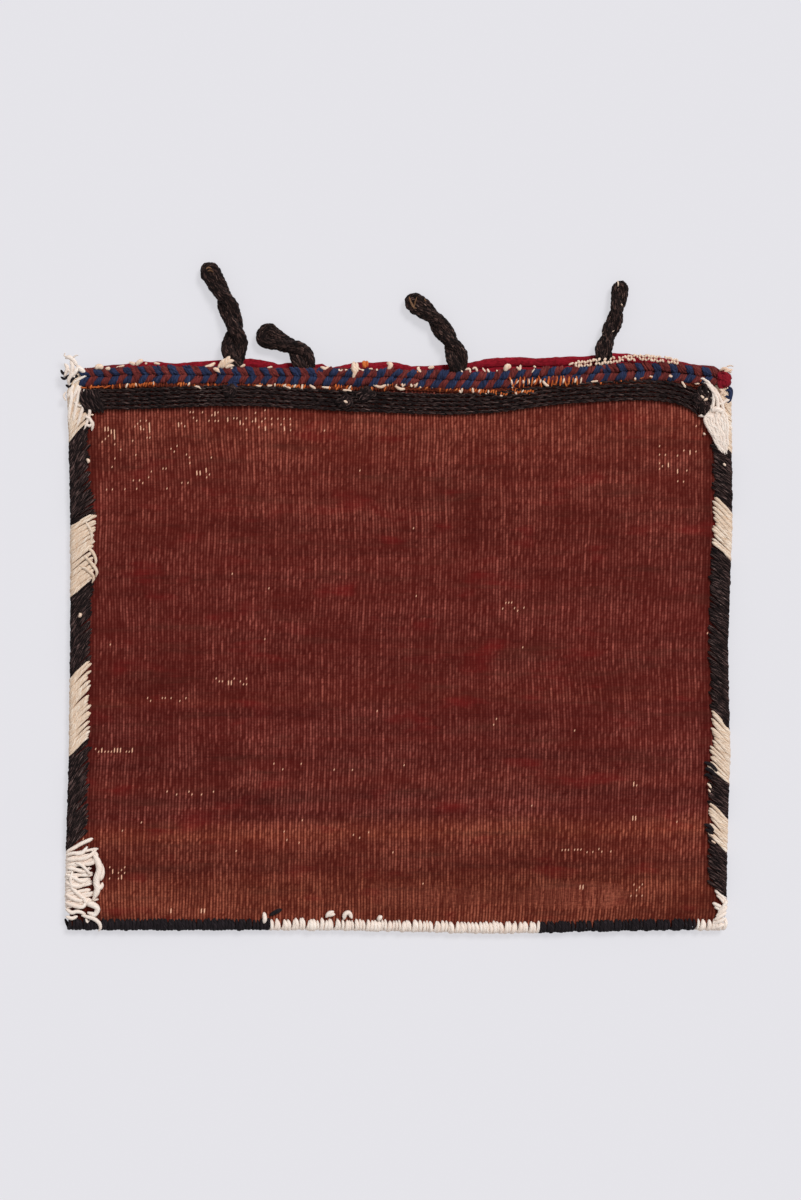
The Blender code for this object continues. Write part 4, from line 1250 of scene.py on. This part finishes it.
# Cream knots, dashes and beads along the twined rows' upper edge
creamDashes = [
    [(96, 369, 3.0, 3.2), (99, 367, 3.4, 4.2), (104, 368, 3.2, 3.8)],
    [(106, 369, 2.6, 2.4), (111, 369, 3.0, 3.2)],
    [(117, 368, 1.6, 1.6), (125, 366, 1.8, 1.8)], [(130, 363, 1.8, 1.8), (136, 365, 2.4, 3.4)],
    [(137, 366, 2.2, 2.6), (140, 363, 2.8, 3.6), (144, 361, 2.0, 2.8)],
    [(146, 365, 1.8, 1.8), (148, 364, 2.0, 1.8)],
    [(155, 364, 2.0, 1.8), (161, 365, 2.0, 1.8)],
    [(205, 368, 1.6, 1.8), (211, 367, 2.4, 3.0), (216, 364, 2.0, 2.2)],
    [(209, 370, 2.6, 1.8), (213, 372, 2.6, 1.6)],
    [(214, 370, 3.0, 2.4), (218, 371, 3.2, 3.2), (223, 374, 2.4, 1.8)],
    [(222, 369, 3.0, 3.4), (226, 364, 4.4, 4.2), (231, 358, 6.0, 2.8)],
    [(224, 368, 3.0, 3.2), (230, 363, 5.0, 3.6), (235, 362, 6.0, 2.0)],
    [(219, 369, 3.0, 2.4), (223, 364, 4.2, 3.2), (227, 360, 5.0, 2.0)],
    [(226, 369, 3.0, 2.8), (231, 367, 4.4, 2.8), (235, 367, 4.0, 1.6)],
    [(231, 368, 3.0, 1.6), (233, 370, 3.2, 1.8)], [(241, 368, 2.2, 1.6), (246, 366, 2.8, 2.4)],
    [(268, 369, 2.0, 1.6), (273, 368, 2.2, 1.8)],
    [(321, 368, 2.0, 2.2), (326, 370, 2.4, 2.8), (329, 368, 2.0, 1.8)],
    [(337, 371, 2.0, 1.8), (342, 372, 2.6, 2.8), (348, 371, 2.0, 2.0)],
    [(354, 363, 2.6, 3.0), (354, 370, 3.6, 3.8), (355, 374, 3.4, 3.6), (353, 380, 2.4, 2.0)],
    [(357, 364, 2.6, 2.8), (357, 370, 3.6, 3.2), (357, 374, 3.0, 2.6)],
    [(351, 370, 2.6, 1.8), (355, 368, 3.8, 1.8), (361, 371, 2.4, 1.6)],
    [(361, 371, 2.4, 1.8), (365, 372, 2.6, 1.8)], [(369, 370, 2.4, 1.4), (373, 370, 2.4, 1.4)],
    [(376, 371, 2.4, 1.8), (378, 371, 2.4, 1.8)],
    [(387, 364, 2.4, 2.8), (391, 366, 3.4, 3.8), (388, 371, 2.6, 2.4)],
    [(419, 368, 2.0, 2.2), (418, 370, 2.8, 2.4), (421, 374, 2.2, 2.0)],
    [(428, 369, 2.2, 2.4), (434, 368, 2.4, 2.4)],
    [(461, 373, 2.2, 2.2), (462, 372, 2.4, 2.4)],
    [(465, 371, 2.2, 1.8), (469, 370, 2.6, 1.8), (470, 374, 2.4, 1.8)],
    [(472, 370, 2.2, 1.8), (475, 369, 2.6, 1.8), (477, 373, 2.2, 1.8)],
    [(482, 369, 2.2, 1.4), (485, 373, 2.2, 1.4)],
    [(487, 370, 2.2, 1.6), (489, 374, 2.4, 2.0)], [(496, 371, 2.0, 1.4), (498, 374, 2.0, 1.4)],
    [(504, 372, 2.8, 3.4), (507, 368, 4.0, 4.6), (510, 369, 3.0, 3.4)],
    [(516, 368, 2.4, 1.6), (519, 371, 2.6, 2.2), (520, 366, 2.4, 1.8)],
    [(533, 367, 2.2, 1.6), (535, 369, 2.2, 1.6)],
    [(568, 366, 2.0, 1.6), (573, 364, 2.4, 1.8)], [(531, 374, 3.6, 1.0), (534, 370, 3.6, 1.2)],
    [(633, 380, 3.4, 2.4), (635, 380, 3.4, 2.4)], [(681, 382, 3.2, 1.8), (685, 388, 2.8, 1.8)],
]
orangePatches = [[(364, 362, 2.4, 3.4), (365, 369, 3.0, 3.6)], [(367, 362, 2.2, 2.6), (367, 368, 2.8, 2.6)],
                 [(416, 372, 2.6, 1.8), (419, 375, 2.6, 1.8)]]


def beadStrands():
    # Two rows of small slanted cream stitches on the right of the lip
    random = np.random.default_rng(5)
    strands = []
    for number, px in enumerate(np.arange(575, 678, 2.9)):
        middle = float(np.interp(px, [575, 600, 625, 640, 660, 680], [366, 362.5, 359.5, 358.5, 360, 362.5]))
        for row in range(2):
            way = 1 if (number + row) % 2 else -1
            py = middle + 3.2 * (row - 0.5) + random.uniform(-0.7, 0.7)
            size = random.uniform(1.3, 2.1)
            half = random.uniform(0.9, 1.7)
            if random.random() < 0.9:
                strands.append([(px - way * 0.9, py - half, 2.4, size), (px, py, 3.4, size * 1.1),
                                (px + way * 0.9, py + half, 2.4, size)])
    return strands


def trimMeshes():
    return [laidMesh(creamDashes, "creamYarn", 31, 0.5 * mm),
            laidMesh(beadStrands(), "creamYarn", 32, 0.5 * mm),
            laidMesh(orangePatches, "orangeYarn", 33)]


twineRows = [("Upper", "mouth_twine_upper", "indigo_wool"), ("Lower", "mouth_twine_lower", "madder_wool")]


def addTwine():
    for row, (place, node, slot) in enumerate(twineRows):
        meshes = []
        offset = twineLook["rowWidth"] * (0.5 + row) + bag["fitGap"] * row
        for number, (startX, endX, upperLean, lowerLean) in enumerate(twineLook["stretches"]):
            lean = (upperLean, lowerLean)[row]
            slip = 0.0 if upperLean * lowerLean < 0 or row == 0 else -lean * twineLook["rowWidth"]
            line = lipOffsetLine(startX * mm, endX * mm - twineLook["pitch"] / 2, offset, 0.7 * mm)
            for phase, colour in ((0.0, "blueYarn"), (0.5, "redYarn")):
                guide = guideLines("stitch", stitchShape(lean, phase * twineLook["pitch"] + slip))
                sizes = {"Stitch": guide, "Pitch": twineLook["pitch"], "Thickness": twineLook["yarn"],
                         "Thickness Spread": 0.3, "Lean Spread": 0.2, "Size Spread": 0.12, "Wobble": 2.2 * mm,
                         "Wobble Grain": 200.0, "End Share": 0.25,
                         "Seed": 3 * number + 7 * row + round(phase * 8)}
                meshes.append(runTree(rowTree, [line], yarns[colour], sizes))
                bpy.data.objects.remove(guide, do_unlink=True)
        base = lipOffsetLine(twineLook["start"], twineLook["end"], offset, 0.9 * mm)
        sizes = {"Plies": 3, "Twist Length": 11 * mm, "Side Reach": 1.9 * mm, "Up Reach": 0.4 * mm,
                 "Ply Thickness": 2.4 * mm, "Sample Length": 2.0 * mm, "Sides": 6, "Seed": 8 + row}
        meshes.append(runTree(pliedTree, [base], yarns["redYarn"], sizes))
        if row == 0:
            meshes += trimMeshes()
        asPiece("twinedRow" + place, meshes, [node])
    print("twined rows made")


addTwine()


# Orange stitches under the twined rows, with cream ones on top of them
orangeLook = {"offset": 14.6 * mm, "tickLength": 3.4 * mm, "tallTickLength": 7.0 * mm, "thickness": 1.5 * mm}
orangeStretches = {
    "dull": [(84, 128, 387.5, 386), (155, 256, 386, 386), (300, 352, 387.5, 390.5), (352, 392, 390.5, 389),
             (420, 480, 388, 394), (540, 600, 386.5, 384), (600, 640, 384, 380.5)],
    "bright": [(128, 155, 386, 384.5), (177, 190, 384.5, 385), (256, 305, 384, 388), (336, 350, 387, 389),
               (388, 414, 385, 385), (416, 424, 386, 386.5), (450, 462, 390, 391), (470, 506, 391, 395),
               (512, 532, 392, 393), (664, 700, 378, 380.5)],
    "tall": [(511, 580, 383.5, 381.5)],
    "lengthwise": [(640, 668, 378.5, 376.8), (84, 108, 388, 387)],
}
creamStitches = [
    [(195, 387, 2.0, 1.4), (200, 388, 2.4, 1.8), (202, 390, 2.0, 1.4)],
    [(256, 387, 2.0, 1.8), (263, 387, 2.2, 1.8)],
    [(268, 387, 2.0, 2.2), (273, 386, 2.2, 2.2)], [(282, 386, 2.0, 1.6), (293, 390, 2.2, 1.8)],
    [(303, 385, 2.0, 1.6), (302, 391, 2.2, 1.8)], [(310, 386, 2.0, 2.0), (316, 390, 2.2, 2.2)],
    [(322, 388, 2.0, 1.6), (331, 389, 2.2, 2.0)], [(343, 391, 2.0, 2.0), (352, 392, 2.2, 2.0)],
    [(371, 385, 2.0, 1.6), (380, 388, 2.4, 2.2), (386, 386, 2.4, 2.6)],
    [(395, 387, 2.0, 2.0), (400, 390, 2.4, 2.4), (405, 390, 2.0, 2.0)],
    [(402, 384, 2.4, 1.6), (403, 388, 2.6, 1.8)], [(410, 383, 2.6, 2.2), (412, 388, 2.8, 2.2)],
    [(420, 387, 2.2, 2.0), (421, 389, 2.2, 1.8)], [(432, 384, 2.2, 1.8), (432, 389, 2.4, 1.8)],
    [(459, 391, 2.0, 1.8), (461, 394, 2.2, 2.0)], [(472, 388, 2.2, 1.6), (473, 394, 2.4, 2.0)],
    [(484, 395, 2.0, 1.8), (487, 396, 2.0, 1.8)], [(499, 397, 2.0, 1.8), (502, 397, 2.0, 1.6)],
    [(511, 388, 2.4, 1.8), (513, 389, 2.4, 1.6)], [(515, 393, 2.2, 1.6), (516, 396, 2.2, 1.6)],
    [(542, 382, 4.4, 2.2), (545, 386, 4.4, 2.2), (548, 387, 4.0, 1.8)],
    [(668, 376, 3.4, 2.6), (672, 378, 3.4, 2.2)],
    [(648, 377, 3.0, 1.6), (652, 378, 3.0, 1.6)], [(590, 383, 3.6, 1.4), (597, 382, 3.6, 1.4)],
    [(694, 384, 2.8, 1.4), (699, 384, 2.8, 1.4)],
]


def photoLine(px0, px1, py0, py1, lift):
    # A line on the face between two places of the photograph
    x0, y0 = fromPhoto(px0, py0)
    x1, y1 = fromPhoto(px1, py1)
    xs = np.linspace(x0, x1, max(2, round(abs(x1 - x0) / (4 * mm))) + 1)
    ys = np.interp(xs, [x0, x1], [y0, y1])
    return np.column_stack([xs, ys, faceZ(xs, ys) + lift])


def tickShape(length, lean, bulge):
    return [[(lean * (0.5 - share) * length, (0.5 - share) * length, bulge * math.sin(math.pi * share))
             for share in np.linspace(0, 1, 6)]]


def addOrangeRow():
    meshes = []
    tick = guideLines("tick", tickShape(orangeLook["tickLength"], 0.3, 0.9 * mm))
    tall = guideLines("tall", tickShape(orangeLook["tallTickLength"], 0.12, 1.0 * mm))
    flat = guideLines("flat", [[(-2.2 * mm, 0.2 * mm, 0.0), (0.0, 0.0, 0.5 * mm), (2.2 * mm, -0.2 * mm, 0.0)]])
    plan = (("dull", "rustYarn", tick, 2.0, 0.95, 1.1), ("dull", "orangeYarn", tick, 5.2, 0.5, 1.4),
            ("bright", "orangeYarn", tick, 1.9, 0.95, 1.4), ("bright", "creamYarn", tick, 6.4, 0.5, 1.9),
            ("tall", "orangeYarn", tall, 3.1, 1.0, 3.2), ("tall", "creamYarn", tick, 4.4, 0.7, 3.9),
            ("lengthwise", "orangeYarn", flat, 3.6, 0.9, 2.4))
    for seed, (kind, colour, shape, pitch, kept, lift) in enumerate(plan):
        lines = [photoLine(*stretch, lift * mm) for stretch in orangeStretches[kind]]
        sizes = {"Stitch": shape, "Pitch": pitch * mm, "Thickness": orangeLook["thickness"],
                 "Lean Spread": 0.45, "Thickness Spread": 0.25, "Size Spread": 0.3, "Kept Share": kept,
                 "Wobble": 1.0 * mm, "Wobble Grain": 280.0, "Sides": 6, "Seed": 60 + seed}
        meshes.append(runTree(rowTree, lines, yarns[colour], sizes))
    meshes.append(laidMesh(creamStitches, "creamYarn", 68, 0.4 * mm))
    ground = lipOffsetLine(twineLook["start"], twineLook["end"], orangeLook["offset"], 0.4 * mm)
    meshes.append(runTree(pliedTree, [ground], yarns["rustYarn"],
                          {"Plies": 2, "Twist Length": 7 * mm, "Side Reach": 1.0 * mm, "Up Reach": 0.3 * mm,
                           "Ply Thickness": 2.0 * mm, "Sample Length": 1.5 * mm, "Sides": 6, "Seed": 5}))
    for shape in (tick, tall, flat):
        bpy.data.objects.remove(shape, do_unlink=True)
    asPiece("orangeStitches", meshes, ["orange_stitch_row"])
    print("orange stitches made")


addOrangeRow()


# Black two-ply cords under the mouth, their wrapped left end and their knots
cordLook = {"count": 5, "spacing": 3.35 * mm, "lift": 1.5 * mm, "twistLength": 11 * mm, "ply": 1.9 * mm}


def bandLine(number):
    # Line of one cord of the band, beside the band's middle line
    points = np.array([(*fromPhoto(px, py), 0.0) for px, py in bandMiddle])
    middle = smoothPath(points, 3 * mm)[:, :2]
    _, sideways = lineDirections(middle)
    line = middle + sideways * (2 - number) * cordLook["spacing"]
    return np.column_stack([line, faceZ(line[:, 0], line[:, 1]) + cordLook["lift"]])


def addLipCords():
    for number in range(cordLook["count"]):
        sizes = {"Plies": 2, "Twist Length": cordLook["twistLength"] * (1 + 0.12 * (number % 3)),
                 "Side Reach": 0.66 * mm, "Up Reach": 0.9 * mm, "Ply Thickness": cordLook["ply"],
                 "Sample Length": 1.1 * mm, "Wobble": 1.5 * mm, "Wobble Grain": 120.0, "Sides": 8,
                 "Seed": 21 + number}
        mesh = runTree(pliedTree, [bandLine(number)], yarns["blackYarn"], sizes)
        asPiece(f"lipCord{number + 1}", mesh, [f"black_cord_{number + 1}"])
    print("lip cords made")


def addKnots():
    leftEnd = [[(83 + 3.6 * k, 389 - 0.3 * k, 1.2, 3.0), (82 + 3.9 * k, 396, 3.0, 3.6),
                (84 + 4.1 * k, 405, 3.0, 3.6), (88 + 3.9 * k, 413, 1.2, 3.0)] for k in range(5)]
    meshes = [laidMesh(leftEnd, "blackYarn", 3, 0.8 * mm),
              laidMesh([[(90, 415, 1.2, 1.4), (94, 415, 1.4, 1.6)]], "creamYarn")]
    asPiece("cordEndLeft", meshes, ["cord_end_left"])
    meshes = [laidMesh(knotStrands(366, 395, 9, 7, 3.6, 3.0, 16, 4), "blackYarn", 4, 1.0 * mm),
              laidMesh(knotStrands(345, 403.5, 8, 7, 3.8, 2.8, 20, 5), "blackYarn", 5, 1.0 * mm),
              laidMesh(knotStrands(232, 392, 7, 8, 3.4, 2.8, 14, 6), "blackYarn", 6, 1.0 * mm),
              laidMesh(knotStrands(233, 385, 6, 5, 3.2, 2.2, 9, 16), "blueYarn", 6, 1.0 * mm),
              laidMesh([[(344, 402, 5.0, 1.4), (346, 403, 5.4, 2.0), (348, 404, 5.0, 1.4)]], "creamYarn")]
    asPiece("cordKnotMiddle", meshes, ["cord_knot_middle"])
    meshes = [laidMesh(knotStrands(702, 401, 9, 12, 4.2, 3.0, 30, 8), "blackYarn", 7, 1.0 * mm),
              laidMesh([[(700, 396, 5.6, 1.6), (703, 399, 6.0, 2.2)],
                        [(703, 401, 5.6, 1.8), (707, 399, 5.8, 2.2)],
                        [(699, 408, 4.6, 1.2), (702, 410, 4.6, 1.2)]], "creamYarn")]
    asPiece("cordEndRight", meshes, ["cord_end_right"])


addLipCords()
addKnots()


def addCorners():
    tuft = [
        [(66, 359, 2.0, 2.6), (70, 358, 3.4, 3.4), (75, 362, 3.6, 3.2), (78, 367, 2.2, 2.4)],
        [(65, 364, 1.6, 2.4), (68, 368, 3.0, 3.2), (66, 374, 2.4, 2.8), (64, 377, 1.4, 2.0)],
        [(71, 361, 3.2, 2.6), (73, 368, 4.4, 3.2), (70, 376, 3.0, 2.8)],
        [(80, 366, 2.0, 2.8), (76, 372, 4.2, 3.4), (70, 379, 3.4, 3.0), (69, 385, 1.4, 2.4)],
        [(89, 374, 1.2, 2.0), (84, 377, 2.4, 2.6), (77, 381, 2.0, 2.4), (72, 385, 1.2, 2.0)],
        [(77, 366, 2.6, 3.2), (82, 370, 4.0, 4.0), (86, 374, 2.6, 3.0)],
        [(67, 370, 2.8, 2.2), (72, 373, 4.0, 2.4), (76, 379, 2.8, 2.2)],
        [(74, 385, 1.4, 2.8), (71, 391, 2.4, 3.0), (68, 398, 1.6, 2.8)],
        [(80, 384, 0.8, 2.6), (77, 390, 2.4, 2.8), (73, 399, 2.0, 2.8)],
        [(68, 358, 3.0, 1.4), (65, 356, 3.4, 1.2), (66, 353, 3.0, 0.8)],
        [(73, 359, 3.4, 1.4), (76, 356, 3.8, 1.2), (79, 356, 3.2, 0.8)],
    ]
    dark = [[(61, 370, 1.2, 1.8), (64, 374, 2.4, 2.4), (67, 371, 1.6, 2.0)],
            [(61, 377, 1.0, 1.6), (65, 379, 2.0, 2.2), (70, 375, 1.6, 2.0)],
            [(70, 383, 1.6, 2.2), (74, 378, 3.0, 2.6), (79, 376, 1.6, 2.2)],
            [(66, 385, 1.0, 2.0), (70, 387, 1.8, 2.2), (74, 383, 1.2, 2.0)]]
    asPiece("leftCornerTuft", [laidMesh(tuft, "bleachedYarn", 11, 1.0 * mm), laidMesh(dark, "jetYarn", 12)],
            ["left_corner_tuft"])
    lump = knotStrands(724, 380, 7, 8, 4.0, 3.2, 22, 21)
    blue = [[(724, 391, 1.0, 2.2), (729, 391, 2.4, 2.8), (730, 399, 2.2, 2.6), (726, 404, 1.0, 2.2)],
            [(727, 387, 1.2, 2.4), (731, 390, 1.8, 2.4), (731, 398, 1.4, 2.2)],
            [(724, 396, 1.6, 2.2), (728, 398, 2.4, 2.4), (729, 403, 1.4, 2.0)]]
    pale = [[(719, 389, 3.4, 1.8), (722, 392, 4.2, 2.4), (719, 396, 3.0, 2.0)],
            [(719, 371, 2.4, 1.8), (724, 369, 4.0, 2.6), (731, 373, 2.6, 2.0)],
            [(722, 374, 3.6, 1.8), (727, 371, 4.4, 2.4), (732, 370, 2.4, 1.6)],
            [(726, 367, 3.4, 1.2), (730, 366, 3.6, 1.0), (733, 367, 2.6, 0.8)]]
    hook = [[(699, 381, 2.0, 1.6), (703, 379, 3.2, 2.4), (708, 384, 3.8, 2.6), (712, 391, 3.8, 2.8),
             (713, 400, 3.6, 3.0), (711, 410, 3.0, 3.0), (706, 419, 2.0, 2.2)],
            [(702, 382, 2.6, 2.0), (708, 387, 4.2, 2.6), (714, 394, 4.4, 2.8), (717, 403, 4.2, 3.0),
             (716, 413, 3.6, 3.0), (712, 424, 2.4, 2.4)],
            [(707, 381, 2.0, 1.8), (712, 387, 3.2, 2.4), (717, 394, 3.4, 2.6), (721, 403, 3.4, 2.6),
             (722, 413, 3.0, 2.6), (719, 425, 2.0, 2.2)],
            [(702, 385, 1.6, 1.6), (706, 391, 2.6, 1.8), (710, 397, 3.0, 2.2), (709, 405, 2.8, 2.4),
             (703, 414, 2.0, 2.0)],
            [(698, 417, 1.8, 1.8), (704, 416, 3.0, 3.0), (710, 417, 3.2, 3.6), (716, 419, 2.4, 3.0)],
            [(716, 404, 3.0, 2.4), (722, 404, 3.4, 2.4), (728, 399, 2.2, 1.8)],
            [(710, 412, 3.2, 4.0), (716, 410, 3.8, 4.6), (723, 412, 3.0, 4.0)]]
    mass = []
    for number in range(9):
        mass.append([(710 + 1.7 * number, 408 + 0.5 * abs(number - 4), 2.4, 2.4),
                     (705 + 2.7 * number, 420, 3.2, 2.8), (710 + 2.1 * number, 431, 2.8, 2.8),
                     (716 + 1.3 * number, 443, 2.0, 2.4), (722 + 0.6 * number, 455, 1.2, 1.8)])
    meshes = [laidMesh(lump, "crimsonYarn", 13, 1.0 * mm), laidMesh(blue, "blueYarn", 14),
              laidMesh(pale, "creamYarn", 15, 0.6 * mm), laidMesh(hook + mass, "bleachedYarn", 16, 2.2 * mm)]
    asPiece("rightCornerLump", meshes, ["right_corner_lump"])
    print("corners made")


addCorners()


# Stage: plain pale floor, soft light, and the camera straight above
stageLook = {"floorSize": 3.0, "floorColour": (229, 228, 233), "floorShare": 0.3, "faceHeight": 6 * mm,
             "distance": 2.4, "sensor": 36.0, "skyStrength": 0.5, "sunStrength": 2.1, "sunAngle": 20,
             "sunSide": 38, "sunHeight": 50}


def addFloor():
    # Most of the floor's light is its own glow, so that shadows on it stay weak
    material, _, shader = newMaterial("paleFloor", 0.9, 0.0)
    goal = np.array(linear(*stageLook["floorColour"])[:3])
    share = stageLook["floorShare"]
    shader.inputs["Base Color"].default_value = (*(goal * share), 1.0)
    shader.inputs["Specular IOR Level"].default_value = 0.0
    shader.inputs["Emission Color"].default_value = (*(goal * (1 - share)), 1.0)
    shader.inputs["Emission Strength"].default_value = 1.0
    size = stageLook["floorSize"]
    corners = np.array([(-size, -size, 0), (size, -size, 0), (size, size, 0), (-size, size, 0)])
    newObject("floor", paintedMesh("floor", corners, [(0, 1, 2, 3)], material))


def addLight():
    world = bpy.data.worlds.new("studioSky")
    bpy.context.scene.world = world
    world.use_nodes = True
    background = world.node_tree.nodes["Background"]
    background.inputs["Color"].default_value = (1.0, 1.0, 1.0, 1.0)
    background.inputs["Strength"].default_value = stageLook["skyStrength"]
    lamp = bpy.data.lights.new("studioLamp", "SUN")
    lamp.energy = stageLook["sunStrength"]
    lamp.angle = math.radians(stageLook["sunAngle"])
    sun = newObject("studioLamp", lamp)
    tilt = math.radians(90 - stageLook["sunHeight"])
    sun.rotation_euler = (tilt, 0.0, math.radians(180 - stageLook["sunSide"]))


def addCamera():
    lens = bpy.data.cameras.new("copyCamera")
    lens.sensor_width = stageLook["sensor"]
    lens.lens = stageLook["sensor"] * stageLook["distance"] / (photo["height"] * photo["pixel"])
    camera = newObject("copyCamera", lens)
    x, y = fromPhoto(photo["width"] / 2, photo["height"] / 2)
    camera.location = (x, y, stageLook["faceHeight"] + stageLook["distance"])
    bpy.context.scene.camera = camera
    bpy.context.scene.view_settings.view_transform = "Standard"


addFloor()
addLight()
addCamera()
